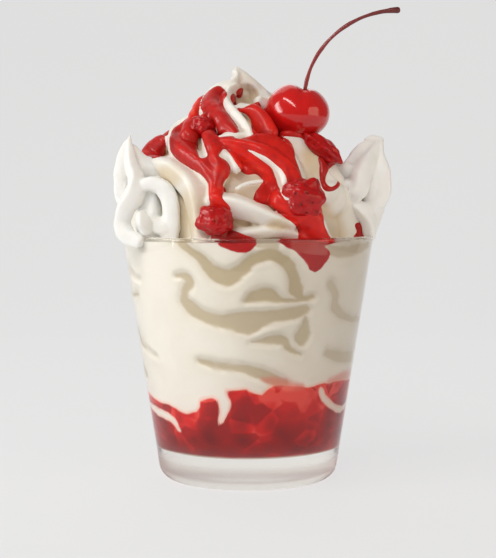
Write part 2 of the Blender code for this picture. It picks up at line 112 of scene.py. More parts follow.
class Bench:
    """How pieces are picked up, shaped in edit mode, measured and finished."""

    @staticmethod
    def take(*pieces: Piece) -> None:
        """Select these pieces alone and make the last of them active.

        Args:
            pieces: the objects to select.
        """
        bpy.ops.object.select_all(action="DESELECT")
        for piece in pieces:
            piece.select_set(True)
        bpy.context.view_layer.objects.active = pieces[-1]

    @staticmethod
    def named(name: str) -> Piece:
        """Name the object that was just made, and its mesh.

        Args:
            name: the name of both.

        Returns:
            The object.
        """
        piece = bpy.context.view_layer.objects.active
        piece.name = name
        piece.data.name = name
        return piece

    @staticmethod
    @contextmanager
    def editing(piece: Piece, elements: Elements = Elements.FACES) -> Iterator[None]:
        """Hold one piece in edit mode with nothing selected.

        Args:
            piece: the mesh object to edit.
            elements: what the selection works on.

        Returns:
            A context in which edit-mode operators act on the piece.
        """
        Bench.take(piece)
        bpy.ops.object.mode_set(mode="EDIT")
        bpy.ops.mesh.select_mode(type=elements.value)
        bpy.ops.mesh.select_all(action="DESELECT")
        try:
            yield
        finally:
            bpy.ops.object.mode_set(mode="OBJECT")

    @staticmethod
    def pick(piece: Piece, elements: Elements, test: Callable[[object], bool]) -> None:
        """Select the elements that pass a test, and nothing else, inside edit mode.

        Args:
            piece: the object being edited.
            elements: whether the test sees edges or faces.
            test: says whether an element is selected.
        """
        builder = bmesh.from_edit_mesh(piece.data)
        for group in (builder.verts, builder.edges, builder.faces):
            for element in group:
                element.select = False
        for element in {Elements.EDGES: builder.edges, Elements.FACES: builder.faces}[elements]:
            if test(element):
                element.select_set(True)
        builder.select_flush_mode()
        bmesh.update_edit_mesh(piece.data)

    @staticmethod
    def modify(piece: Piece, kind: str, **settings: object) -> None:
        """Add a modifier, give it its settings and apply it.

        Args:
            piece: the object to change.
            kind: the modifier's type.
            settings: its properties by name.
        """
        Bench.take(piece)
        modifier = piece.modifiers.new(kind.lower(), kind)
        for name, value in settings.items():
            setattr(modifier, name, value)
        bpy.ops.object.modifier_apply(modifier=modifier.name)

    @staticmethod
    def copy(piece: Piece, name: str) -> Piece:
        """Copy a piece with its own mesh.

        Args:
            piece: what to copy.
            name: the copy's name.

        Returns:
            The copy, in the same place.
        """
        twin = piece.copy()
        twin.data = piece.data.copy()
        twin.name = name
        twin.data.name = name
        bpy.context.collection.objects.link(twin)
        return twin

    @staticmethod
    def join(name: str, pieces: list[Piece]) -> Piece:
        """Join pieces into one object.

        Args:
            name: the name of the whole.
            pieces: what it is made of.

        Returns:
            The joined object.
        """
        Bench.take(*pieces)
        bpy.ops.object.join()
        return Bench.named(name)

    @staticmethod
    def settle(piece: Piece) -> None:
        """Bake the piece's place, turn and scale into its mesh."""
        Bench.take(piece)
        bpy.ops.object.transform_apply(location=True, rotation=True, scale=True)

    @staticmethod
    def _read(rows: bpy.types.bpy_prop_collection, key: str) -> Array:
        """Read one vector from each row of a mesh's data.

        Args:
            rows: the mesh's data.
            key: the vector's name.

        Returns:
            Rows of x, y and z.
        """
        flat = np.empty(len(rows) * 3)
        rows.foreach_get(key, flat)
        return flat.reshape(-1, 3)

    @staticmethod
    def points(piece: Piece) -> Array:
        """The piece's vertices as rows of x, y and z."""
        return Bench._read(piece.data.vertices, "co")

    @staticmethod
    def normals(piece: Piece) -> Array:
        """The piece's vertex normals as rows of x, y and z."""
        return Bench._read(piece.data.vertex_normals, "vector")

    @staticmethod
    def place(piece: Piece, points: Array) -> None:
        """Move the piece's vertices to these points."""
        piece.data.vertices.foreach_set("co", np.ascontiguousarray(points).ravel())
        piece.data.update()

    @staticmethod
    def mark(piece: Piece, name: str, values: Array) -> None:
        """Store one number for each vertex, for the finish to read.

        Args:
            piece: the mesh object.
            name: the attribute's name.
            values: a number for each vertex.
        """
        layer = piece.data.attributes.new(name, "FLOAT", "POINT")
        layer.data.foreach_set("value", np.ascontiguousarray(values, dtype=np.float32))

    @staticmethod
    def smooth(piece: Piece, degrees: float) -> None:
        """Shade the piece smooth, apart from edges sharper than an angle."""
        Bench.take(piece)
        bpy.ops.object.shade_smooth_by_angle(angle=math.radians(degrees))

    @staticmethod
    def outward(piece: Piece) -> None:
        """Merge doubled vertices, then turn all faces outwards.

        Args:
            piece: the mesh object.
        """
        with Bench.editing(piece):
            bpy.ops.mesh.select_all(action="SELECT")
            bpy.ops.mesh.remove_doubles(threshold=WELD)
            bpy.ops.mesh.normals_make_consistent(inside=False)

    @staticmethod
    def seat(piece: Piece, slot: Slot, *nodes: str) -> None:
        """Hand a finished piece to the frame.

        Args:
            piece: the finished piece.
            slot: the material slot that its finish comes from; not used.
            nodes: the CAD nodes that it stands for.
        """
        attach(piece, "root")
        if nodes:
            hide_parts(*nodes)
        piece.data.calc_loop_triangles()
        log.info("%s: %d triangles", piece.name, len(piece.data.loop_triangles))


# ---------- Shader maths ----------


class Signal:
    """A shader socket that takes part in plain sums."""

    def __init__(self, sheet: "NodeSheet", socket: bpy.types.NodeSocket) -> None:
        """Keep the socket and the sheet that it is drawn on."""
        self.sheet = sheet
        self.socket = socket

    def _math(self, operation: str, first: object, second: object) -> "Signal":
        """Add one Math node.

        Args:
            operation: the node's operation.
            first: its first value or signal.
            second: its second value or signal.

        Returns:
            The node's result.
        """
        return self.sheet.node("ShaderNodeMath", {"operation": operation}, {0: first, 1: second})

    def __add__(self, other: "Signal | float") -> "Signal":
        """Add."""
        return self._math("ADD", self, other)

    __radd__ = __add__

    def __sub__(self, other: "Signal | float") -> "Signal":
        """Take away."""
        return self._math("SUBTRACT", self, other)

    def __rsub__(self, other: float) -> "Signal":
        """Take this away from a number."""
        return self._math("SUBTRACT", other, self)

    def __mul__(self, other: "Signal | float") -> "Signal":
        """Multiply."""
        return self._math("MULTIPLY", self, other)

    __rmul__ = __mul__

    def __truediv__(self, other: "Signal | float") -> "Signal":
        """Divide."""
        return self._math("DIVIDE", self, other)

    def limited(self) -> "Signal":
        """Hold between 0 and 1."""
        return self.sheet.node("ShaderNodeClamp", {}, {"Value": self})


class NodeSheet:
    """A material's node tree, with one way to add a node."""

    def __init__(self, name: str) -> None:
        """Make a material with a Principled shader and keep its tree.

        Args:
            name: the material's name.
        """
        self.material = bpy.data.materials.new(name)
        self.material.use_nodes = True
        self.tree = self.material.node_tree
        self.shader = self.tree.nodes["Principled BSDF"]

    def node(self, kind: str, settings: dict, values: dict, output: object = 0) -> Signal:
        """Add a node.

        Args:
            kind: the node's type.
            settings: its properties, set first; "stops" are a ramp's (place, colour) pairs.
            values: a number, colour or signal for each input socket, by name or number.
            output: the name or number of the socket to return.

        Returns:
            That output socket as a signal.
        """
        made = self.tree.nodes.new(kind)
        for name, value in settings.items():
            if name == "stops":
                self._set_stops(made.color_ramp, value)
            else:
                setattr(made, name, value)
        for key, value in values.items():
            self.feed(made.inputs[key], value)
        return Signal(self, made.outputs[output])

    @staticmethod
    def _set_stops(ramp: bpy.types.ColorRamp, stops: list) -> None:
        """Give a colour ramp its stops.

        Args:
            ramp: the colour ramp.
            stops: its (place, colour) pairs.
        """
        while len(ramp.elements) < len(stops):
            ramp.elements.new(1.0)
        for element, (place, colour) in zip(ramp.elements, stops):
            element.position = place
            element.color = (*colour, 1.0)

    def feed(self, socket: bpy.types.NodeSocket, value: object) -> None:
        """Link a signal to a socket, or set the socket's own value.

        Args:
            socket: the input socket.
            value: a signal, number, vector or colour.
        """
        if isinstance(value, Signal):
            self.tree.links.new(value.socket, socket)
        elif isinstance(value, tuple) and len(value) == 3 and socket.type == "RGBA":
            socket.default_value = (*value, 1.0)
        else:
            socket.default_value = value

    def set(self, name: str, value: object) -> None:
        """Give the Principled shader's socket a value or a signal."""
        self.feed(self.shader.inputs[name], value)

    def place(self) -> Signal:
        """The point's own coordinates in the object."""
        return self.node("ShaderNodeTexCoord", {}, {}, "Object")

    def height(self) -> Signal:
        """The point's height in the object."""
        return self.node("ShaderNodeSeparateXYZ", {}, {0: self.place()}, "Z")

    def stored(self, name: str) -> Signal:
        """A number that the mesh carries."""
        return self.node("ShaderNodeAttribute", {"attribute_name": name}, {}, "Fac")

    def mix(self, share: object, first: object, second: object, blend: str = "MIX") -> Signal:
        """Mix two colours.

        Args:
            share: how much of the second.
            first: a colour or signal.
            second: a colour or signal.
            blend: the blend type.

        Returns:
            The mixed colour.
        """
        settings = {"data_type": "RGBA", "blend_type": blend}
        return self.node("ShaderNodeMix", settings, {0: share, 6: first, 7: second}, 2)

    def grain(self, scale: float, detail: float = 2.0, warp: float = 0.0, at: object = None) -> Signal:
        """Noise over the object.

        Args:
            scale: how fine it is.
            detail: its octaves.
            warp: its distortion.
            at: the coordinates, or None for the object's own.

        Returns:
            Noise from 0 to 1.
        """
        values = {"Vector": at or self.place(), "Scale": scale, "Detail": detail, "Distortion": warp}
        return self.node("ShaderNodeTexNoise", {}, values)

    def cells(self, scale: float, feature: str, at: object = None, output: str = "Distance") -> Signal:
        """A cell pattern over the object.

        Args:
            scale: how fine it is.
            feature: the pattern's feature.
            at: the coordinates, or None for the object's own.
            output: which output to return.

        Returns:
            The chosen output.
        """
        values = {"Vector": at or self.place(), "Scale": scale}
        return self.node("ShaderNodeTexVoronoi", {"feature": feature}, values, output)

    def ramp(self, value: Signal, *stops: tuple) -> Signal:
        """Colours by a number, from (place, colour) stops."""
        return self.node("ShaderNodeValToRGB", {"stops": list(stops)}, {"Fac": value})

    def gloss(self, specular: float, coat: float, coat_roughness: float) -> None:
        """Give the shader its even gloss.

        Args:
            specular: the surface's own specular level.
            coat: the coat's weight.
            coat_roughness: the coat's roughness.
        """
        self.set("Specular IOR Level", specular)
        self.set("Coat Weight", coat)
        self.set("Coat Roughness", coat_roughness)

    def glow_through(self, weight: float, radius: Colour, scale: float) -> None:
        """Let light sink into the surface.

        Args:
            weight: how much of it does.
            radius: how far each colour of it gets, as shares.
            scale: how far a share of 1 is, in metres.
        """
        self.set("Subsurface Weight", weight)
        self.set("Subsurface Radius", radius)
        self.set("Subsurface Scale", scale)

    def bump(self, height: Signal, depth: float, strength: float = 1.0) -> None:
        """Give the shader a bumpy normal.

        Args:
            height: the bump's height, about 0 to 1.
            depth: how deep 1 is, in metres.
            strength: the share of the effect.
        """
        values = {"Height": height, "Distance": depth, "Strength": strength}
        self.set("Normal", self.node("ShaderNodeBump", {}, values))


@dataclass(frozen=True)
class Finish:
    """What a surface is made of. Its fields are the shader's constants."""

    name: str

    def lay(self, sheet: NodeSheet) -> None:
        """Wire the finish's pattern on a sheet."""
        raise NotImplementedError

    def dress(self, *pieces: Piece) -> None:
        """Make the material and put it on pieces.

        Args:
            pieces: the objects that wear it.
        """
        sheet = NodeSheet(self.name)
        self.lay(sheet)
        for piece in pieces:
            piece.data.materials.clear()
            piece.data.materials.append(sheet.material)


@dataclass(frozen=True)
class CreamFinish(Finish):
    """Soft serve or whipped cream: pale, with a warm painted shade in its creases and hollows, and a moist
    sheen.
    """

    colour: Colour = (0.89, 0.86, 0.79)
    # warm painted shade, laid into creases and hollows
    crease_shade: Colour = (0.70, 0.56, 0.36)
    roughness: float = 0.42
    coat: float = 0.12
    grain_depth: float = 0.00006
    translucence: float = 0.12

    def lay(self, sheet: NodeSheet) -> None:
        """Wire the cream: a warm painted shade in the creases and hollows, faint clouding and fine waves.

        Args:
            sheet: the sheet to wire it on.
        """
        crease_shade = sheet.stored("crease_shade")
        cloud = sheet.grain(90.0, 3.0)
        # painted shade in creases and hollows, varied a little by the random clouding
        tint = (crease_shade * 0.9 + (cloud - 0.5) * 0.25).limited()
        sheet.set("Base Color", sheet.mix(tint, self.colour, self.crease_shade))
        waves = sheet.grain(420.0, 2.0, 0.6)
        pores = sheet.grain(1700.0, 1.0)
        sheet.set("Roughness", self.roughness + (cloud - 0.5) * 0.2)
        sheet.gloss(0.5, self.coat, 0.25)
        sheet.glow_through(self.translucence, (1.0, 0.75, 0.5), 0.002)
        sheet.bump(waves + pores * 0.25, self.grain_depth)


@dataclass(frozen=True)
class SauceFinish(Finish):
    """Strawberry sauce: a wet gloss; its red runs from bright to deep by the sauce's thickness and by
    painted light and shade.
    """

    # the stops run from sauce that is thin and in painted light to sauce that is thick and in painted shade
    sheer: Colour = (0.88, 0.11, 0.05)
    thin: Colour = (0.84, 0.020, 0.010)
    full: Colour = (0.55, 0.014, 0.011)
    deep: Colour = (0.33, 0.012, 0.010)

    def lay(self, sheet: NodeSheet) -> None:
        """Wire the sauce: colour by thickness and by painted light and shade, pulp clouds and a slightly
        uneven gloss.

        Args:
            sheet: the sheet to wire it on.
        """
        # the depth mark holds the sauce's thickness and its painted light and shade
        depth = sheet.stored("depth")
        pulp = sheet.grain(330.0, 4.0, 0.8)
        lumps = sheet.cells(420.0, "SMOOTH_F1")
        tone = (depth + (pulp - 0.5) * 0.55 + (0.35 - lumps) * 0.25 + 0.2).limited()
        stops = ((0.0, self.sheer), (0.17, self.thin), (0.6, self.full), (1.0, self.deep))
        sheet.set("Base Color", sheet.ramp(tone, *stops))
        sheet.set("Roughness", 0.3 + pulp * 0.2)
        sheet.gloss(0.2, 0.18, 0.06)
        sheet.glow_through(0.05, (1.0, 0.12, 0.08), 0.0015)
        sheet.bump(pulp * 0.7 - lumps * 0.5, 0.00015, 0.6)


def strawberry_mash(sheet: NodeSheet) -> Signal:
    """Colour of crushed strawberry seen through glass: blocky dark and bright lumps.

    Args:
        sheet: the sheet to draw on.

    Returns:
        The colour.
    """
    drift = sheet.grain(160.0, 2.0)
    shift = sheet.node("ShaderNodeVectorMath", {"operation": "SCALE"}, {0: drift, "Scale": 0.004})
    shifted = sheet.node("ShaderNodeVectorMath", {"operation": "ADD"}, {0: sheet.place(), 1: shift})
    lumps = sheet.cells(180.0, "SMOOTH_F1", shifted)
    tones = sheet.cells(180.0, "F1", shifted, "Color")
    shade = sheet.node("ShaderNodeSeparateColor", {}, {"Color": tones}, "Red")
    cloud = sheet.grain(75.0, 2.0)
    lift = ((sheet.height() - 0.022) / 0.012).limited()
    value = (shade * 0.42 + lumps * 0.6 + (cloud - 0.5) * 1.1 + lift * 0.45 - 0.02).limited()
    return sheet.ramp(
        value,
        (0.0, (0.16, 0.002, 0.002)),
        (0.3, (0.25, 0.003, 0.003)),
        (0.6, (0.34, 0.004, 0.004)),
        (0.85, (0.56, 0.008, 0.006)),
        (1.0, (0.68, 0.060, 0.045)),
    )


@dataclass(frozen=True)
class FillFinish(Finish):
    """What shows through the glass: cream with painted shade in its grooves, crushed strawberry, and a
    painted pale underside.
    """

    cream: Colour = (0.71, 0.69, 0.645)
    # painted shade for the grooves
    painted_groove_shade: Colour = (0.44, 0.37, 0.255)
    blush: Colour = (0.80, 0.30, 0.20)
    haze: Colour = (0.62, 0.16, 0.12)
    wet_red: Colour = (0.46, 0.010, 0.010)
    wet_dark: Colour = (0.30, 0.006, 0.008)
    # painted light: a pale colour for the fill's underside, which lies in shade above the glass's floor
    underside_light: Colour = (0.76, 0.65, 0.56)

    def lay(self, sheet: NodeSheet) -> None:
        """Wire the fill from the distances that the mesh carries, in millimetres.

        Args:
            sheet: the sheet to wire it on.
        """
        painted_groove_shade = sheet.stored("painted_groove_shade")
        red = sheet.stored("red_edge")
        stain = sheet.stored("stain_edge")
        cloud = sheet.grain(60.0, 3.0)
        milk = sheet.mix(((cloud - 0.5) * 0.5).limited(), self.cream, self.painted_groove_shade)
        # painted shade in the grooves
        cream = sheet.mix(painted_groove_shade.limited(), milk, self.painted_groove_shade)
        near = (1.0 + red / 1.3).limited() * 0.55
        blushed = sheet.mix(near, cream, self.blush)
        mashed = sheet.mix((red / 0.5 + 0.5).limited(), blushed, strawberry_mash(sheet))
        # painted light on the underside next to the glass's floor
        with_underside_light = sheet.mix(sheet.stored("under").limited(), mashed, self.underside_light)
        hazed = sheet.mix(sheet.stored("haze").limited() * 0.6, with_underside_light, self.haze)
        wet = sheet.mix(sheet.grain(200.0, 3.0), self.wet_red, self.wet_dark)
        sheet.set("Base Color", sheet.mix((stain / 0.35 + 0.5).limited(), hazed, wet))
        sheet.set("Roughness", 0.5)
        sheet.set("Specular IOR Level", 0.2)
        sheet.bump(sheet.grain(300.0, 3.0), 0.0002, 0.5)


@dataclass(frozen=True)
class GlassFinish(Finish):
    """Clear glass, lightly frosted in its foot, that lets light through to what it holds."""

    tint: Colour = (0.985, 0.968, 0.945)
    foot_tint: Colour = (0.98, 0.95, 0.885)
    shadow_tint: Colour = (0.92, 0.91, 0.89)

    def lay(self, sheet: NodeSheet) -> None:
        """Wire the glass, which casts hardly any shadow.

        Args:
            sheet: the sheet to wire it on.
        """
        frosted = ((FOOT_THICKNESS - sheet.height()) / 0.003).limited()
        sheet.set("Base Color", sheet.mix(frosted, self.tint, self.foot_tint))
        sheet.set("Roughness", 0.02 + frosted * 0.32)
        sheet.set("IOR", 1.38)
        sheet.set("Transmission Weight", 1.0)
        ray = sheet.node("ShaderNodeLightPath", {}, {}, "Is Shadow Ray")
        clear = sheet.node("ShaderNodeBsdfTransparent", {}, {"Color": self.shadow_tint})
        solid = Signal(sheet, sheet.shader.outputs[0])
        mixed = sheet.node("ShaderNodeMixShader", {}, {0: ray, 1: solid, 2: clear})
        sheet.feed(sheet.tree.nodes["Material Output"].inputs["Surface"], mixed)


@dataclass(frozen=True)
class CherryFinish(Finish):
    """A glossy preserved cherry, with painted shade underneath and round the stem."""

    bright: Colour = (0.64, 0.008, 0.007)
    # painted shade, underneath and in the dimple
    dark: Colour = (0.42, 0.011, 0.011)

    def lay(self, sheet: NodeSheet) -> None:
        """Wire the cherry: painted shade from the shade mark, faint mottling under a clear, slightly uneven
        gloss.

        Args:
            sheet: the sheet to wire it on.
        """
        shade = sheet.stored("shade")
        mottle = sheet.grain(240.0, 4.0, 0.4)
        tone = (shade + (mottle - 0.5) * 0.5).limited()
        sheet.set("Base Color", sheet.mix(tone, self.bright, self.dark))
        sheet.set("Roughness", 0.2 + mottle * 0.1)
        sheet.gloss(0.1, 1.0, 0.09)
        sheet.glow_through(0.1, (1.0, 0.1, 0.08), 0.002)
        sheet.bump(sheet.grain(500.0, 3.0), 0.00012, 0.6)


@dataclass(frozen=True)
class StemFinish(Finish):
    """A dyed cherry stem: red below, browner towards its cut end."""

    low: Colour = (0.30, 0.012, 0.014)
    high: Colour = (0.13, 0.012, 0.010)
    speck: Colour = (0.06, 0.006, 0.006)

    def lay(self, sheet: NodeSheet) -> None:
        """Wire the stem: colour by its length, with short dark flecks.

        Args:
            sheet: the sheet to wire it on.
        """
        along = sheet.stored("along")
        fleck = sheet.grain(900.0, 3.0)
        colour = sheet.mix(along.limited(), self.low, self.high)
        flecked = (fleck * 2.0 - 0.9).limited() * 0.5
        sheet.set("Base Color", sheet.mix(flecked, colour, self.speck))
        sheet.set("Roughness", 0.32 + fleck * 0.2)
        sheet.set("Coat Weight", 0.25)
        sheet.bump(fleck, 0.0002, 0.8)


@dataclass(frozen=True)
class BerryFinish(Finish):
    """A cut strawberry piece under sauce: seedy skin, darker in its pits."""

    skin: Colour = (0.50, 0.006, 0.007)
    pit: Colour = (0.09, 0.002, 0.003)

    def lay(self, sheet: NodeSheet) -> None:
        """Wire the berry: pits, mottled flesh and a wet coat.

        Args:
            sheet: the sheet to wire it on.
        """
        pit = sheet.stored("pit")
        mottle = sheet.grain(420.0, 4.0, 0.6)
        tone = (pit * 0.8 + (mottle - 0.45) * 1.2).limited()
        sheet.set("Base Color", sheet.mix(tone, self.skin, self.pit))
        sheet.set("Roughness", 0.22 + mottle * 0.2)
        sheet.gloss(0.2, 0.25, 0.05)
        sheet.bump(mottle, 0.0003, 0.8)


@dataclass(frozen=True)
class StageFinish(Finish):
    """The pale studio sweep."""

    colour: Colour = (0.16, 0.16, 0.16)
    mottle: Colour = (0.12, 0.12, 0.12)
    glow: float = 0.66

    def lay(self, sheet: NodeSheet) -> None:
        """Wire a plain matt surface with the faintest mottling.

        Args:
            sheet: the sheet to wire it on.
        """
        paper = sheet.grain(30.0, 2.0)
        sheet.set("Base Color", sheet.mix(paper * 0.1, self.colour, self.mottle))
        sheet.set("Roughness", 0.9)
        sheet.set("Specular IOR Level", 0.1)
        sheet.set("Emission Color", (1.0, 1.0, 1.0))
        sheet.set("Emission Strength", self.glow)


# ---------- Paths and charts ----------

Flow = tuple[tuple[float, float, float], ...]  # turn in degrees or x in mm, height and half width in mm
Outline = tuple[tuple[float, float], ...]  # x and height above the rim, in mm, as seen from the front


def flowing(stops: Array, count: int) -> Array:
    """Points along a smooth curve through stops.

    Args:
        stops: rows that the curve passes through.
        count: how many points to return.

    Returns:
        The points, evenly spaced by stop.
    """
    ends = np.vstack([2 * stops[0] - stops[1], stops, 2 * stops[-1] - stops[-2]])
    travel = np.linspace(0, len(stops) - 1, count)
    first = np.minimum(travel.astype(int), len(stops) - 2)
    share = (travel - first)[:, None]
    before, start, end, after = (ends[first + step] for step in range(4))
    straight = (end - before) * share
    bend = (2 * before - 5 * start + 4 * end - after) * share**2
    twist = (3 * start - before - 3 * end + after) * share**3
    return 0.5 * (2 * start + straight + bend + twist)


def wobble(points: Array, size: float, seed: float) -> Array:
    """Smooth noise at points.

    Args:
        points: rows of x, y and z in metres.
        size: how long a wave is, in metres.
        seed: shifts the pattern.

    Returns:
        A number from about -1 to 1 for each point.
    """
    shift = Vector((seed, 2 * seed, -seed))
    return np.array([noise.noise(Vector(point) / size + shift) for point in points])


def stirred(values: Array | float, points: Array, waves: tuple) -> Array:
    """Shift values by smooth noise.

    Args:
        values: a number for each point, or one for all.
        points: rows of x, y and z in metres.
        waves: (amount, length in metres, seed) of each kind of wave.

    Returns:
        The shifted values.
    """
    for amount, size, seed in waves:
        values = values + amount * wobble(points, size, seed)
    return values


def ease(values: Array) -> Array:
    """Hold between 0 and 1 with soft ends."""
    share = np.clip(values, 0.0, 1.0)
    return share * share * (3 - 2 * share)


def rounded(corners: Array, steps: int = 5) -> Array:
    """A closed smooth curve through corners.

    Args:
        corners: rows of x and y round the outline.
        steps: how many points each side gets.

    Returns:
        The curve's points, without repeating the first.
    """
    wrapped = np.vstack([corners[-1:], corners, corners[:2]])
    return flowing(wrapped, (len(corners) + 2) * steps + 1)[steps : -steps - 1]


def depth_inside(place: Array, loop: Array) -> Array:
    """How far points lie inside a closed outline.

    Args:
        place: rows of x and y.
        loop: the outline's points, rows of x and y.

    Returns:
        The distance inside the outline, negative outside.
    """
    best = np.full(len(place), FAR_MM)
    inside = np.zeros(len(place), bool)
    for start, end in zip(loop, np.roll(loop, -1, axis=0)):
        way = end - start
        length = max(float(way @ way), 1e-9)
        share = np.clip((place - start) @ way / length, 0.0, 1.0)
        best = np.minimum(best, np.linalg.norm(place - start - share[:, None] * way, axis=1))
        if way[1]:
            crossing = (start[1] > place[:, 1]) != (end[1] > place[:, 1])
            edge = start[0] + (place[:, 1] - start[1]) * way[0] / way[1]
            inside ^= crossing & (place[:, 0] < edge)
    return np.where(inside, best, -best)


@dataclass(frozen=True)
class DomeChart:
    """The swirl's outline: a dome whose middle shifts to -X towards the peak."""

    radius: float = 0.0405
    height: float = 0.0605
    shoulder: float = 2.4
    taper: float = 1.3
    shift: float = -0.005
    shift_height: float = 0.027

    def middle(self, height: Array) -> Array:
        """Where the dome's middle lies along X at a height."""
        return self.shift * ease(height / self.shift_height)

    def reach(self, height: Array) -> Array:
        """The dome's radius at a height."""
        share = np.clip(height / self.height, 0.0, 1.0)
        return self.radius * (1 - share**self.shoulder) ** self.taper

    def point(self, turn: Array, height: Array, sink: Array | float) -> Array:
        """Points on the outline.

        Args:
            turn: degrees around Z.
            height: metres above the rim.
            sink: how far inside the outline, in metres.

        Returns:
            Rows of x, y and z.
        """
        angle = np.radians(turn)
        reach = np.maximum(self.reach(height) - sink, 0.0)
        across = reach * np.sin(angle) + self.middle(height)
        return np.stack([across, -reach * np.cos(angle), RIM_HEIGHT + height], axis=-1)

    def front(self, across: Array, height: Array, sink: Array) -> Array:
        """Points on the outline's front half.

        Args:
            across: metres along X.
            height: metres above the rim.
            sink: how far inside the outline, in metres.

        Returns:
            Rows of x, y and z.
        """
        reach = np.maximum(self.reach(height) - sink, 0.0)
        deep = np.sqrt(np.maximum(reach**2 - (across - self.middle(height)) ** 2, 0.0))
        return np.stack([across, -deep, RIM_HEIGHT + height], axis=-1)

    def locate(self, points: Array) -> tuple[Array, Array]:
        """The turn and height of points.

        Args:
            points: rows of x, y and z.

        Returns:
            Degrees around Z, and metres above the rim.
        """
        height = points[:, 2] - RIM_HEIGHT
        across = points[:, 0] - self.middle(height)
        return np.degrees(np.arctan2(across, -points[:, 1])), height


@dataclass(frozen=True)
class WallChart:
    """The tumbler's wall, unrolled into turn and height."""

    def outer(self, height: Array) -> Array:
        """The glass's outer radius at a height."""
        return RIM_RADIUS - TAPER * (RIM_HEIGHT - height)

    def inner(self, height: Array) -> Array:
        """The glass's inner radius at a height."""
        share = (height - FOOT_THICKNESS) / (RIM_HEIGHT - FOOT_THICKNESS)
        return self.outer(height) - (LOW_WALL + (RIM_WALL - LOW_WALL) * share)

    def well(self, height: Array) -> Array:
        """The inner radius with the round at the edge of the glass's floor."""
        drop = np.clip(WELL_ROUND - (height - FOOT_THICKNESS), 0.0, WELL_ROUND)
        return self.inner(height) - (WELL_ROUND - np.sqrt(WELL_ROUND**2 - drop**2))

    def stroke(self, turn: Array, height: Array, stops: tuple) -> Array:
        """How far points lie inside a painted stroke.

        Args:
            turn: the points' turns in degrees.
            height: the points' heights in metres.
            stops: (turn, height in mm, half width in mm) along the stroke.

        Returns:
            Millimetres inside the stroke's edge, negative outside.
        """
        scale = np.pi / 180 * self.outer(height) / MM
        best = np.full(len(turn), -FAR_MM)
        for middle, level, half in flowing(np.array(stops, float), 12 * len(stops)):
            aside = ((turn - middle + 180) % 360 - 180) * scale
            best = np.maximum(best, half - np.hypot(aside, height / MM - level))
        return best

    def outline(self, turn: Array, height: Array, corners: tuple) -> Array:
        """How far points lie inside a closed outline.

        Args:
            turn: the points' turns in degrees.
            height: the points' heights in metres.
            corners: (turn, height in mm) round the outline.

        Returns:
            Millimetres inside the outline, negative outside.
        """
        scale = math.pi / 180 * RIM_RADIUS * 0.9 / MM
        place = np.stack([turn * scale, height / MM], axis=-1)
        return depth_inside(place, np.array(corners, float) * (scale, 1.0))


DOME = DomeChart()
WALL = WallChart()


# ---------- Ropes: what soft serve and whipped cream are piled up from ----------


@dataclass
class RopeBlank:
    """A straight round bar with domed ends, modelled once and laid along every ridge."""

    sides: int = 28
    rings: int = 40
    dome: tuple = ((0.35, 0.94), (0.3, 0.86), (0.2, 0.72), (0.1, 0.5))  # (step out, scale)
    pinch: float = 0.9  # how much narrower a full crest is
    thinnest: float = 0.00015
    bar: Piece = field(init=False)

    def __post_init__(self) -> None:
        """Model the bar: a disc extruded ring by ring, from 0 to 1 along Z."""
        bpy.ops.mesh.primitive_circle_add(vertices=self.sides, radius=1.0, fill_type="NGON")
        self.bar = Bench.named("rope blank")
        with Bench.editing(self.bar):
            bpy.ops.mesh.select_all(action="SELECT")
            for _ in range(self.rings):
                self._extrude(1.0 / self.rings)
            self._domed(1)
            Bench.pick(self.bar, Elements.FACES, lambda face: abs(face.calc_center_median().z) < LEVEL_SLACK)
            self._domed(-1)
        Bench.outward(self.bar)

    def _extrude(self, step: float) -> None:
        """Pull the picked disc along the bar."""
        bpy.ops.mesh.extrude_region_move(TRANSFORM_OT_translate={"value": (0.0, 0.0, step)})

    def _domed(self, way: int) -> None:
        """Close one end with ever smaller rings.

        Args:
            way: 1 for the far end, -1 for the near one.
        """
        for step, scale in self.dome:
            self._extrude(way * step)
            bpy.ops.transform.resize(value=(scale, scale, 1.0))

    def lay(self, name: str, stops: Array, outward: Callable[[Array], Array], crest: float = 0.0) -> Piece:
        """Lay a copy of the bar along a path.

        Args:
            name: the rope's name.
            stops: rows of x, y, z and radius in metres that the path runs through.
            outward: gives the direction of the rope's crest at points of the path.
            crest: how far the rope is drawn up into a ridge, 0 for a round one.

        Returns:
            The rope.
        """
        rope = Bench.copy(self.bar, name)
        blank = Bench.points(rope)
        path = flowing(stops, self.rings + 1)
        way = np.gradient(path[:, :3], axis=0)
        way /= np.linalg.norm(way, axis=1)[:, None] + TINY
        up = outward(path[:, :3])
        up -= way * np.sum(up * way, axis=1)[:, None]
        up /= np.linalg.norm(up, axis=1)[:, None] + TINY
        side = np.cross(way, up)
        spot = np.clip(np.rint(blank[:, 2] * self.rings), 0, self.rings).astype(int)
        beyond = blank[:, 2] - np.clip(blank[:, 2], 0.0, 1.0)
        ridge = np.maximum(blank[:, 0], 0.0)
        tall = blank[:, 0] + crest * ridge**3
        wide = blank[:, 1] * (1 - self.pinch * crest * ridge**2)
        radius = np.maximum(path[spot, 3], self.thinnest)[:, None]
        place = path[spot, :3] + radius * (
            tall[:, None] * up[spot] + wide[:, None] * side[spot] + beyond[:, None] * way[spot]
        )
        Bench.place(rope, place)
        return rope

    def discard(self) -> None:
        """Remove the blank once every rope is laid."""
        bpy.data.objects.remove(self.bar)


def fuse(name: str, ropes: list[Piece], voxel: float, rounds: int) -> Piece:
    """Make one skin round overlapping ropes and soften its creases.

    Args:
        name: the whole's name.
        ropes: what is fused.
        voxel: the skin's grid, in metres.
        rounds: how often it is smoothed.

    Returns:
        The fused piece.
    """
    whole = Bench.join(name, ropes)
    Bench.modify(whole, "REMESH", mode="VOXEL", voxel_size=voxel)
    Bench.modify(whole, "SMOOTH", factor=0.5, iterations=rounds)
    return whole


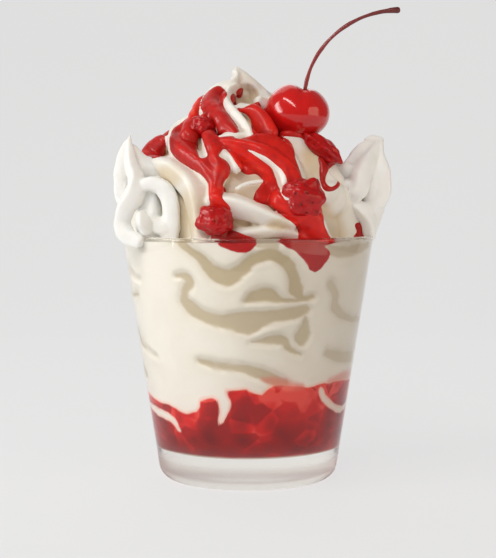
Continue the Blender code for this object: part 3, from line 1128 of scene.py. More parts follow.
def tucked(points: Array, margin: float) -> Array:
    """Hold points inside the glass where they reach down into it.

    Args:
        points: rows of x, y and z.
        margin: how far inside the wall they stay, in metres.

    Returns:
        The points, moved in where they stood too far out.
    """
    level = np.minimum(points[:, 2], RIM_HEIGHT)
    rise = np.maximum(points[:, 2] - RIM_HEIGHT, 0.0)
    limit = WALL.inner(level) - margin + LEAN_OUT * rise + FLARE_OUT * rise**2
    reach = np.hypot(points[:, 0], points[:, 1])
    share = np.minimum(limit / np.maximum(reach, LEAST_REACH), 1.0)
    return points * np.column_stack([share, share, np.ones(len(share))])


def roughen(piece: Piece, *waves: tuple[float, float]) -> None:
    """Push a surface in and out with soft noise.

    Args:
        piece: the mesh object.
        waves: (length, height) of each kind of wave, in metres.
    """
    points = Bench.points(piece)
    push = sum(wobble(points, size, ROUGH_SEED) * height for size, height in waves)
    Bench.place(piece, points + Bench.normals(piece) * push[:, None])


def mark_creases(piece: Piece, recess: float | Array = 0.0) -> None:
    """Store how much painted shade each point takes, from 0 on ridges to 1 deep in creases and valleys.

    Args:
        piece: the fused swirl or dollop.
        recess: the painted shade that broad hollows and shaded faces add to it.
    """
    softened = Bench.copy(piece, "crease gauge")
    Bench.modify(softened, "SMOOTH", factor=0.5, iterations=CREASE_ROUNDS)
    fall = np.sum((Bench.points(softened) - Bench.points(piece)) * Bench.normals(piece), axis=1)
    bpy.data.objects.remove(softened)
    # the finish reads this mark as painted shade
    Bench.mark(piece, "crease_shade", np.clip(fall / CREASE_DEPTH + recess, -0.3, 1.0))


# ---------- The swirl of soft serve ----------


@dataclass(frozen=True)
class Ridge:
    """One ridge of the swirl, from its head down to its foot, on the dome's outline."""

    turn: tuple[float, float]
    height: tuple[float, float]  # metres above the rim
    thick: tuple[float, float]  # radius
    curl: float = 1.0  # under 1 turns first and then falls, over 1 falls first
    sink: float = 0.8  # how much of its radius lies inside the outline
    crest: float = 0.5
    steps: int = 14

    def stops(self) -> Array:
        """The ridge's path.

        Returns:
            Rows of x, y, z and radius.
        """
        share = np.linspace(0.0, 1.0, self.steps + 1)
        turn = self.turn[0] + (self.turn[1] - self.turn[0]) * share**self.curl
        height = self.height[0] + (self.height[1] - self.height[0]) * share
        thick = self.thick[0] + (self.thick[1] - self.thick[0]) * share
        return np.column_stack([DOME.point(turn, height, thick * (self.sink + self.crest)), thick])


@dataclass(frozen=True)
class Fold:
    """One fold of the swirl's front, drawn as it is seen from there."""

    path: Flow  # x, height above the rim and radius, in mm
    sink: float = 0.8
    crest: float = 0.3

    def stops(self) -> Array:
        """The fold's path.

        Returns:
            Rows of x, y, z and radius.
        """
        across, height, thick = np.array(self.path, float).T * MM
        return np.column_stack([DOME.front(across, height, thick * (self.sink + self.crest)), thick])


@dataclass
class Swirl:
    """Soft serve piled up above the rim: two tiers of folds and ridges round a core, with a curl."""

    front: tuple[Fold, ...] = (
        # crown, behind
        Fold(((-8.2, 53.6, 1.1), (-12.1, 51.5, 1.1), (-14.5, 48.5, 1.4), (-16.5, 45.1, 1.8),
              (-17.7, 41.8, 2.1), (-19.0, 37.7, 2.8), (-19.8, 33.8, 3.1)), sink=0.90, crest=0.2),
        # crown, cream lip
        Fold(((-6.4, 54.4, 0.7), (-9.9, 52.5, 1.1), (-13.1, 50.4, 1.2), (-15.1, 47.4, 1.4),
              (-16.0, 43.9, 1.6), (-15.2, 40.5, 1.6)), sink=0.80, crest=0.5),
        # crown, sauced
        Fold(((-5.3, 54.0, 1.4), (-8.5, 51.7, 2.3), (-11.6, 48.3, 2.8), (-12.2, 44.2, 3.1),
              (-10.0, 40.1, 3.3), (-7.1, 36.1, 3.2), (-4.7, 32.6, 3.0)), sink=1.15, crest=0.2),
        # crown, running down in an S
        Fold(((-3.9, 52.0, 1.6), (-6.7, 49.0, 1.9), (-7.3, 45.2, 2.3), (-5.2, 41.9, 2.4),
              (-2.4, 38.6, 2.4), (-0.3, 35.4, 2.4), (1.0, 32.3, 2.0)), sink=0.58, crest=0.5),
        # crown, under hollow
        Fold(((-2.4, 44.1, 2.1), (1.0, 42.7, 2.4), (3.8, 40.1, 2.6), (6.2, 36.9, 2.7),
              (7.8, 33.8, 2.7)), sink=0.95, crest=0.3),
        # crown, right
        Fold(((3.2, 47.2, 1.6), (6.7, 45.1, 2.3), (10.1, 42.3, 2.6), (13.6, 38.7, 2.8),
              (16.3, 34.8, 2.8)), sink=0.90, crest=0.3),
        # curl, right
        Fold(((-4.3, 59.8, 0.4), (-1.4, 56.6, 1.4), (1.4, 53.1, 2.1), (4.2, 49.7, 2.5), (6.7, 46.3, 2.6),
              (9.1, 42.6, 2.8)), sink=0.90, crest=0.3),
        # curl, left
        Fold(((-4.7, 59.4, 0.4), (-3.8, 56.0, 1.0), (-5.8, 52.8, 1.8),
              (-9.2, 51.3, 2.2)), sink=0.90, crest=0.3),
        # ledge
        Fold(((-11.9, 32.6, 1.0), (-8.5, 33.6, 1.2), (-4.1, 34.0, 1.4), (1.0, 34.0, 1.4),
              (5.1, 33.4, 1.0), (8.5, 32.4, 0.5)), sink=0.70, crest=0.3),
        # lobe
        Fold(((-20.1, 38.5, 3.1), (-23.1, 35.3, 3.8), (-24.0, 31.4, 4.1), (-21.7, 28.2, 4.2),
              (-18.2, 25.4, 4.2), (-14.4, 22.7, 4.0), (-11.7, 19.7, 3.7)), sink=0.85, crest=0.3),
        # hub
        Fold(((-13.2, 33.0, 2.7), (-12.1, 29.5, 3.4), (-10.7, 25.7, 3.5), (-9.7, 22.3, 3.5),
              (-10.3, 19.0, 2.8), (-11.0, 15.3, 2.3)), sink=0.90, crest=0.2),
        # white patch
        Fold(((-9.8, 29.8, 1.3), (-7.7, 27.4, 2.2), (-5.7, 25.4, 2.5),
              (-4.0, 23.3, 1.8)), sink=1.25, crest=0.3),
        # second
        Fold(((-8.4, 31.2, 2.0), (-3.0, 29.5, 3.0), (2.4, 27.1, 4.0), (7.0, 24.1, 4.9),
              (10.7, 20.0, 5.4), (13.4, 15.3, 5.7), (15.3, 10.7, 5.7)), sink=0.85, crest=0.5),
        # white lip
        Fold(((1.0, 29.1, 0.7), (5.0, 27.1, 1.0), (8.7, 24.8, 1.3), (11.4, 21.7, 1.5),
              (12.4, 18.0, 1.3)), sink=0.55, crest=0.3),
        # second face
        Fold(((3.7, 32.3, 2.4), (8.5, 29.9, 3.7), (12.5, 25.8, 4.4),
              (15.1, 20.0, 4.7)), sink=1.15, crest=0.0),
        # second, right
        Fold(((13.8, 33.6, 3.1), (16.8, 30.1, 3.9), (19.2, 25.9, 4.6), (21.1, 21.1, 5.3),
              (23.4, 16.4, 5.9), (26.1, 11.6, 6.4)), sink=0.95, crest=0.4),
        # right shoulder
        Fold(((22.7, 30.0, 3.8), (26.5, 25.1, 4.9), (30.0, 19.9, 5.6),
              (32.7, 14.7, 5.9)), sink=0.90, crest=0.3),
        # leaf
        Fold(((-27.7, 33.0, 1.8), (-30.2, 31.5, 2.6), (-32.5, 28.9, 3.3), (-33.5, 25.2, 3.5),
              (-33.3, 21.0, 3.7)), sink=0.85, crest=0.3),
        # left, low
        Fold(((-36.1, 22.6, 3.8), (-33.2, 18.4, 5.8), (-30.9, 11.9, 6.5), (-29.1, 5.5, 6.4),
              (-27.3, -1.5, 6.4)), sink=1.00, crest=0.2),
        # white fold
        Fold(((-32.7, 23.9, 3.8), (-26.8, 23.1, 4.4), (-21.8, 20.4, 4.9), (-18.0, 16.3, 5.2),
              (-16.0, 11.3, 5.3), (-14.9, 5.7, 5.0), (-14.6, -1.3, 4.6)), sink=0.80, crest=0.3),
        # behind drip
        Fold(((-11.0, 16.7, 2.0), (-9.9, 11.7, 2.7), (-9.6, 6.1, 3.0),
              (-9.3, -1.2, 3.0)), sink=1.20, crest=0.2),
        # low tier, upper fold
        Fold(((-10.9, 12.0, 3.6), (-4.6, 10.7, 4.3), (0.7, 9.2, 3.8), (5.6, 7.4, 3.0), (10.3, 5.7, 2.3),
              (14.6, 4.4, 1.7)), sink=0.70, crest=0.4),
        # low tier, at the rim
        Fold(((-8.3, -1.2, 3.3), (-2.3, 0.8, 3.0), (3.6, 1.8, 2.3), (9.3, 2.1, 2.0), (14.3, 1.1, 2.3),
              (19.4, -1.7, 3.0)), sink=1.60, crest=0.3),
        # apron
        Fold(((12.3, 12.0, 4.3), (16.7, 8.3, 5.0), (20.7, 4.0, 5.3),
              (23.1, -1.4, 5.4)), sink=0.60, crest=0.3),
        # low tier, right fold
        Fold(((25.5, 15.0, 5.1), (29.8, 11.6, 6.2), (33.0, 6.8, 6.5), (34.8, 1.6, 6.5),
              (35.5, -3.3, 6.2)), sink=0.80, crest=0.3),
        # right, low
        Fold(((36.7, 8.4, 3.5), (39.5, 2.6, 4.6), (41.2, -3.3, 4.7)), sink=0.80, crest=0.2),
        # recess roll
        Fold(((-3.8, 16.5, 0.7), (0.3, 18.3, 0.9), (5.1, 19.0, 0.8)), sink=3.20, crest=0.0),
    )
    side: Ridge = Ridge((66, 84), (0.029, 0.001), (0.0050, 0.0085))
    back: Ridge = Ridge((96, 134), (0.033, 0.000), (0.0045, 0.0088), curl=0.9)
    back_count: int = 5
    back_step: float = 36.0
    top: tuple[Ridge, ...] = (
        Ridge((120, 70), (0.058, 0.036), (0.0012, 0.0055)),
        Ridge((150, 130), (0.055, 0.034), (0.0022, 0.0055), sink=1.1),
        Ridge((200, 175), (0.053, 0.034), (0.0026, 0.0055), sink=1.1),
        Ridge((245, 222), (0.051, 0.034), (0.0028, 0.0055), sink=1.2),
    )
    peak: tuple = (  # rows of x, y, height above the rim and radius
        (-0.0035, 0.0, 0.044, 0.0060),
        (-0.0030, 0.0, 0.052, 0.0035),
        (-0.0040, 0.0005, 0.0600, 0.0004),
    )
    # Faces behind a fold, in its shade: x, height, half width and half height in mm, and tint.
    shaded: tuple = (
        (22.1, 25.7, 4.5, 8.0, 1.45),
        (10.6, 4.7, 4.5, 2.6, 1.4),
        (-26.8, 20.8, 6.0, 4.5, 1.2),
        (-19.0, 8.7, 4.5, 10.0, 1.35),
        (2.6, 50.6, 1.4, 2.4, 1.3),
        (-2.2, 47.6, 2.6, 1.2, 1.4),
    )
    hollow: tuple[float, float] = (-0.0012, 0.0494)  # the curl's hollow: x and height
    hollow_half: tuple[float, float] = (0.0046, 0.0040)
    hollow_depth: float = 0.0036
    hollow_edge: float = 1.25  # where the hollow ends, as a share of its half sizes
    hollow_blend: float = 0.8
    shade_from: float = 0.0030  # how far inside the outline the shade of a recess starts
    shade_over: float = 0.0035
    shade_top: float = 0.052
    shade_fade: float = 0.004
    shade_edge: float = 1.4
    shade_tint: float = 0.68  # how strongly a recess's painted shade counts, as a share of its full amount
    core_sink: float = 0.0065
    core_bottom: float = -0.012
    core_top: float = 0.052
    core_sides: int = 72
    core_cuts: int = 24
    core_least: float = 0.001
    lean: tuple[float, float] = (0.25, 0.6)  # crests tilt up by reach and by height
    clearance: float = 0.0012  # to the wall of the glass
    waves: tuple = ((0.007, 0.00025), (0.0025, 0.00007))  # length and height
    voxel: float = 0.00059
    rounds: int = 3

    def build(self, blank: RopeBlank) -> Piece:
        """Pile up the swirl and fuse it.

        Args:
            blank: the bar that the ridges are laid from.

        Returns:
            The swirl.
        """
        bodies = [self._core()]
        for index, ridge in enumerate((*self.front, self.side, *self._back_ridges(), *self.top)):
            bodies.append(blank.lay(f"ridge {index}", ridge.stops(), self._outward, ridge.crest))
        peak = np.array(self.peak) + (0.0, 0.0, RIM_HEIGHT, 0.0)
        bodies.append(blank.lay("peak", peak, self._outward))
        swirl = fuse("soft_serve_swirl", bodies, self.voxel, self.rounds)
        roughen(swirl, *self.waves)
        Bench.place(swirl, self._scooped(tucked(Bench.points(swirl), self.clearance)))
        return swirl

    def _scooped(self, points: Array) -> Array:
        """Press the curl's hollow into the front of the top tier.

        Args:
            points: the swirl's points.

        Returns:
            The points, those in the hollow moved back.
        """
        across = (points[:, 0] - self.hollow[0]) / self.hollow_half[0]
        above = (points[:, 2] - RIM_HEIGHT - self.hollow[1]) / self.hollow_half[1]
        near = ease((self.hollow_edge - np.hypot(across, above)) / self.hollow_blend)
        share = np.where(points[:, 1] < 0.0, near, 0.0)
        return points + np.outer(share, (0.0, self.hollow_depth, 0.0))

    def _back_ridges(self) -> Iterator[Ridge]:
        """The lower ridges round the back, each a step on from the last.

        Returns:
            The ridges, one by one.
        """
        for index in range(self.back_count):
            start, end = (edge + self.back_step * index for edge in self.back.turn)
            yield replace(self.back, turn=(start, end))

    def _outward(self, points: Array) -> Array:
        """The direction away from the dome's middle, tilted up a little.

        Args:
            points: rows of x, y and z.

        Returns:
            A direction for each point.
        """
        height = points[:, 2] - RIM_HEIGHT
        across = points[:, 0] - DOME.middle(height)
        by_reach, by_height = self.lean
        lift = by_reach * np.hypot(across, points[:, 1]) + by_height * np.maximum(height, 0.0)
        return np.stack([across, points[:, 1], lift], axis=-1)

    def _core(self) -> Piece:
        """The mass under the ridges: a cylinder cut into rings that follow the dome.

        Returns:
            The core.
        """
        depth = self.core_top - self.core_bottom
        middle = RIM_HEIGHT + (self.core_top + self.core_bottom) / 2
        bpy.ops.mesh.primitive_cylinder_add(
            vertices=self.core_sides, radius=1.0, depth=depth, location=(0, 0, middle)
        )
        core = Bench.named("core")
        Bench.settle(core)
        with Bench.editing(core, Elements.EDGES):
            Bench.pick(core, Elements.EDGES, lambda edge: edge.calc_length() > depth * 0.9)
            bpy.ops.mesh.subdivide(number_cuts=self.core_cuts)
        points = Bench.points(core)
        height = points[:, 2] - RIM_HEIGHT
        reach = np.maximum(DOME.reach(height) - self.core_sink, self.core_least)
        points[:, 0] = points[:, 0] * reach + DOME.middle(height)
        points[:, 1] *= reach
        Bench.place(core, points)
        return core

    def recess(self, piece: Piece) -> Array:
        """How much painted shade each point takes for lying inside the dome's outline, 0 at it and 1 in the
        deepest hollows, and on the shaded faces.

        Args:
            piece: the fused swirl.

        Returns:
            A number for each point.
        """
        points = Bench.points(piece)
        height = DOME.locate(points)[1]
        across = points[:, 0] - DOME.middle(height)
        inside = DOME.reach(height) - np.hypot(across, points[:, 1])
        shade = ease((inside - self.shade_from) / self.shade_over)
        shade = shade * ease((self.shade_top - height) / self.shade_fade)
        # painted shade on faces that lie behind a fold
        for middle, level, wide, tall, amount in self.shaded:
            aside = (points[:, 0] / MM - middle) / wide
            above = ((points[:, 2] - RIM_HEIGHT) / MM - level) / tall
            near = ease(self.shade_edge - np.hypot(aside, above)) * (points[:, 1] < 0)
            shade = np.maximum(shade, amount * near)
        return shade


# ---------- The sauce over the swirl ----------


@dataclass
class Sauce:
    """Strawberry sauce: a rounded sheet that drapes over the swirl where its flows run."""

    flows: tuple[Flow, ...] = (
        ((-106, 26.0, 2.2), (-96, 29.0, 3.0), (-88, 30.5, 3.0)),
        ((-96, 47.0, 1.6), (-72, 45.5, 1.6)),
        ((60, 46.3, 1.8), (80, 46.9, 1.4)),
        ((59, 37.8, 3.0), (84, 36.9, 2.0)),
        ((128, 47.0, 2.6), (142, 39.0, 3.6), (160, 31.0, 3.4), (168, 22.0, 2.6), (172, 13.0, 2.0)),
        ((160, 50.0, 2.4), (188, 43.0, 3.2), (206, 34.0, 3.4), (215, 25.0, 2.4), (219, 17.0, 1.6)),
        ((118, 36.0, 2.8), (112, 28.0, 2.4), (118, 18.0, 2.2), (120, 8.0, 3.0), (124, -1.0, 3.4)),
        ((235, 42.0, 2.6), (248, 35.0, 2.8), (252, 27.0, 1.8)),
        ((176, 16.0, 2.0), (186, 8.0, 2.8), (192, -1.0, 3.2)),
    )
    # Each outline's number sets the red of the sauce there, 0 bright and 1 dark: partly how thick the sauce
    # lies, partly painted light and shade, low on faces in the light, as on the stream, and high on faces in
    # shade, as on the lobe's left.
    patches: tuple[tuple[float, Outline], ...] = (
        # lobe, hub and drip
        (0.50, ((-26.4, 34.1), (-25.5, 37.0), (-23.4, 38.7), (-19.9, 41.0), (-16.7, 41.4), (-13.9, 42.8),
            (-12.0, 39.8), (-11.2, 35.5), (-8.5, 31.9), (-6.4, 30.5), (-8.8, 29.8), (-10.1, 27.4),
            (-7.4, 25.2), (-6.5, 23.0), (-7.5, 20.0), (-9.1, 16.7), (-9.1, 13.3), (-7.0, 9.7),
            (-5.3, 5.4), (-10.3, 4.7), (-12.6, 8.4), (-12.1, 13.3), (-13.0, 18.3), (-16.1, 21.9),
            (-20.6, 24.4), (-24.2, 27.1), (-26.2, 29.8))),
        # lobe's left, in painted shade
        (0.90, ((-26.7, 33.4), (-25.4, 35.9), (-23.2, 36.5), (-22.9, 31.4), (-21.4, 27.2), (-24.2, 27.6),
            (-26.1, 30.1))),
        # hub
        (0.20, ((-13.9, 31.6), (-8.4, 30.9), (-10.1, 27.4), (-7.4, 25.0), (-6.2, 23.0), (-7.5, 19.7),
            (-11.7, 19.3), (-14.8, 24.4))),
        # drip
        (-0.05, ((-12.7, 18.3), (-8.6, 17.3), (-8.6, 13.3), (-6.0, 9.4), (-10.6, 7.4), (-12.3, 11.7))),
        # crown
        (0.50, ((-10.3, 52.4), (-8.6, 51.0), (-7.5, 49.2), (-8.9, 46.4), (-8.0, 43.0), (-5.3, 39.5),
            (-3.6, 35.6), (-7.5, 36.0), (-10.5, 34.7), (-12.4, 38.3), (-15.3, 42.8), (-16.1, 45.5),
            (-14.9, 49.0), (-12.8, 51.3))),
        # behind crown
        (-0.10, ((-15.8, 50.3), (-16.8, 47.2), (-17.3, 43.3), (-17.5, 40.7), (-20.1, 38.9),
            (-20.2, 43.1), (-18.8, 48.4))),
        # under the cherry
        (0.35, ((-3.5, 43.6), (-1.7, 44.1), (0.0, 44.9), (1.7, 45.9), (3.2, 46.7), (4.0, 46.4),
            (4.5, 44.9), (5.6, 43.8), (7.4, 46.4), (10.0, 49.8), (19.0, 49.1), (25.5, 37.6),
            (26.2, 33.3), (21.7, 31.4), (19.6, 33.2), (17.8, 34.5), (9.6, 35.1), (2.4, 35.1),
            (1.7, 37.2), (1.4, 40.1), (0.0, 41.9), (-1.7, 42.8))),
        # crown right
        (-0.15, ((-3.5, 44.1), (-0.3, 43.4), (2.4, 42.7), (4.1, 40.9), (5.2, 38.0), (4.4, 35.5),
            (2.7, 35.5), (1.7, 38.0), (1.0, 40.5), (-0.7, 42.3))),
        # spot
        (0.50, ((-3.9, 50.5), (-2.8, 51.7), (-2.0, 52.0), (-2.2, 50.4), (-2.6, 49.2), (-3.5, 49.0))),
        # lip's edge
        (0.70, ((-5.8, 48.2), (-5.1, 49.6), (-4.6, 48.2), (-4.5, 46.9), (-3.8, 45.6), (-5.0, 46.3))),
        # second tier
        (0.28, ((-11.5, 33.2), (-7.5, 33.8), (-5.4, 34.0), (-3.4, 33.0), (-0.3, 33.7), (1.7, 34.4),
            (5.1, 35.0), (9.6, 34.5), (13.4, 33.2), (15.4, 30.8), (15.8, 26.6), (17.8, 20.8),
            (19.2, 14.0), (13.0, 14.0), (12.8, 20.4), (8.4, 24.9), (2.7, 28.3), (-2.4, 30.9),
            (-8.5, 32.3))),
        # stream, in painted light
        (0.06, ((-9.1, 32.4), (-3.4, 31.0), (1.7, 28.5), (6.7, 24.8), (9.0, 20.0), (12.0, 12.7),
            (17.8, 11.3), (24.7, 10.3), (25.1, 5.2), (26.7, 1.2), (28.8, -3.0), (18.0, -2.7),
            (17.0, 3.0), (12.6, 7.0), (7.0, 10.9), (2.3, 12.7), (3.7, 16.5), (5.2, 19.0), (3.0, 21.7),
            (-0.7, 21.5), (-3.7, 25.0), (-7.1, 30.2))),
        # apron
        (0.45, ((13.7, 10.0), (17.8, 11.3), (24.7, 10.3), (25.1, 5.2), (26.7, 1.2), (28.8, -3.0),
            (18.0, -2.7), (17.0, 3.0))),
        # stream's foot
        (0.45, ((2.7, 13.3), (3.7, 16.5), (8.3, 16.7), (12.0, 12.7), (12.6, 7.7), (7.0, 10.9))),
        # leaf
        (0.55, ((-29.7, 35.7), (-32.5, 35.6), (-35.1, 34.2), (-36.9, 31.5), (-37.8, 29.3), (-37.3, 28.1),
            (-33.8, 27.2), (-31.1, 27.4), (-29.5, 28.4), (-28.9, 30.6), (-28.9, 33.5))),
        # right drip
        (0.70, ((25.0, 27.3), (31.9, 26.8), (28.6, 24.2), (26.7, 21.6), (26.4, 18.8), (27.9, 17.0),
            (29.8, 17.2), (31.2, 18.7), (31.5, 17.8), (29.7, 16.2), (27.1, 15.9), (25.5, 17.4),
            (25.0, 20.8), (25.0, 24.4))),
        # right foot
        (0.70, ((38.1, 3.9), (40.7, 4.1), (41.8, 2.3), (43.4, 0.5), (44.1, -1.9), (37.7, -1.4),
            (38.9, 1.3))),
        # left foot
        (0.80, ((-10.9, 4.1), (-8.3, 3.7), (-5.0, 2.4), (-1.3, 1.0), (1.3, 0.1), (3.0, -1.2),
            (-10.9, -1.2))),
    )
    gaps: tuple[Outline, ...] = (
        # under the lip
        ((-4.5, 47.5), (-3.1, 48.1), (-1.4, 48.7), (1.1, 49.5), (3.6, 51.0), (3.9, 48.9), (2.5, 47.6),
         (0.3, 45.9), (-2.1, 44.9), (-3.8, 45.2)),
        # white lip
        ((0.0, 30.0), (3.0, 28.8), (6.4, 27.1), (9.4, 24.9), (11.8, 22.4), (13.3, 19.0), (12.4, 16.3),
         (10.7, 18.0), (9.4, 20.9), (7.4, 23.2), (4.7, 25.6), (2.0, 27.5), (-0.3, 29.0)),
        # island
        ((-17.2, 33.6), (-16.0, 34.5), (-14.9, 32.0), (-13.3, 27.5), (-15.8, 26.5), (-17.6, 29.6)),
        # crown edge
        ((-12.6, 40.5), (-11.7, 39.8), (-10.1, 35.5), (-11.2, 35.5)),
    )
    wrap: float = 0.004  # how far behind the middle the front's outlines reach
    spread_mm: float = 0.3  # how far the sauce creeps past its outlines
    thick: float = 0.0009
    edge_mm: float = 0.6
    blend_mm: float = 0.7
    dip: float = 0.0007
    pool: float = 0.0009  # how much deeper than its surroundings the sauce turns fully dark
    pooling: float = 0.35  # and how much of its tint that gives
    shell: float = 0.0009
    drape_rounds: int = 26
    most_sunk: float = -0.0001
    ripple: float = 0.00022
    ripple_length: float = 0.0032
    clearance: float = 0.0003  # to the wall of the glass
    least_cover: float = -0.65  # how far past its edge the sheet is kept
    flow_sink: float = 0.0015  # how far inside the dome's outline flows are measured
    hollow_guard: float = 1.4  # flows stay out of the curl's hollow, to this share of its half sizes
    hollow_back: float = 0.004
    blend_reach_mm: tuple[float, float] = (-6.0, 3.0)
    ragged_mm: float = 2.2  # how uneven the edge behind the wrap is
    ragged_length: float = 0.0065
    uneven_mm: tuple = ((0.2, 0.0045, 1.3), (0.1, 0.0016, 5.9))  # mm, length, seed

    def build(self, swirl: Piece) -> Piece:
        """Drape the sauce over the swirl.

        Args:
            swirl: the fused swirl.

        Returns:
            The sauce, a closed sheet.
        """
        sauce = Bench.copy(swirl, "strawberry_sauce")
        Bench.modify(sauce, "SMOOTH", factor=0.5, iterations=self.drape_rounds)
        ground = Bench.points(swirl)
        soft = Bench.points(sauce)
        inside, deep = self._inside(ground)
        cover = np.tanh(inside / self.edge_mm)
        normal = Bench.normals(sauce)
        fill = np.sum((soft - ground) * normal, axis=1)
        rise = np.where(cover > 0, self.thick * cover, self.dip * cover)
        rise += self.ripple * wobble(ground, self.ripple_length, 8.1) * np.maximum(cover, 0.0)
        wanted = np.maximum(fill * np.clip(cover, 0.0, 1.0), self.most_sunk) + rise
        Bench.place(sauce, tucked(ground + normal * wanted[:, None], self.clearance))
        Bench.modify(sauce, "SMOOTH", factor=0.5, iterations=2)
        # painted light and shade from the outlines, darker where the sauce pools thick
        Bench.mark(sauce, "depth", np.clip(deep + self.pooling * fill / self.pool, -0.2, 1.0))
        bare = cover <= self.least_cover
        with Bench.editing(sauce):
            Bench.pick(sauce, Elements.FACES, lambda face: all(bare[end.index] for end in face.verts))
            bpy.ops.mesh.delete(type="FACE")
        Bench.modify(sauce, "SOLIDIFY", thickness=self.shell, offset=-1.0)
        return sauce

    def _inside(self, ground: Array) -> tuple[Array, Array]:
        """How far points lie inside the sauce's flows and outlines, and how deep its red runs there, by
        thickness and by painted light and shade.

        Args:
            ground: points of the swirl.

        Returns:
            Millimetres inside the nearest edge, negative outside, and the depth from 0 to 1.
        """
        turn, height = DOME.locate(ground)
        place = DOME.point(turn, height, self.flow_sink) / MM
        seen = np.column_stack([ground[:, 0], ground[:, 2] - RIM_HEIGHT]) / MM
        best = np.full(len(turn), -FAR_MM)
        for flow in self.flows:
            track = flowing(np.array(flow, float), 10 * len(flow))
            spots = DOME.point(track[:, 0], track[:, 1] * MM, self.flow_sink) / MM
            for spot, half in zip(spots, track[:, 2]):
                best = np.maximum(best, half - np.linalg.norm(place - spot, axis=1))
        across = (seen[:, 0] * MM - Swirl.hollow[0]) / Swirl.hollow_half[0]
        above = (seen[:, 1] * MM - Swirl.hollow[1]) / Swirl.hollow_half[1]
        guarded = (np.hypot(across, above) < self.hollow_guard) & (ground[:, 1] < self.hollow_back)
        best[guarded] = -FAR_MM
        drawn = np.full(len(turn), -FAR_MM)
        deep = np.full(len(turn), 0.5)
        weight = np.ones(len(turn))
        for thickness, patch in self.patches:
            within = depth_inside(seen, rounded(np.array(patch)))
            drawn = np.maximum(drawn, within)
            share = np.exp(np.clip(within, *self.blend_reach_mm) / self.blend_mm)
            deep += thickness * share
            weight += share
        for gap in self.gaps:
            drawn = np.minimum(drawn, -depth_inside(seen, rounded(np.array(gap))))
        ragged = self.ragged_mm * wobble(ground, self.ragged_length, 4.1)
        drawn = np.minimum(drawn, (self.wrap - ground[:, 1]) / MM + ragged)
        uneven = stirred(self.spread_mm, ground, self.uneven_mm)
        return np.maximum(best, drawn) + uneven, deep / weight


# ---------- What fills the glass ----------

Tongue = tuple[float, float, float]  # turn, depth in metres, half width in degrees


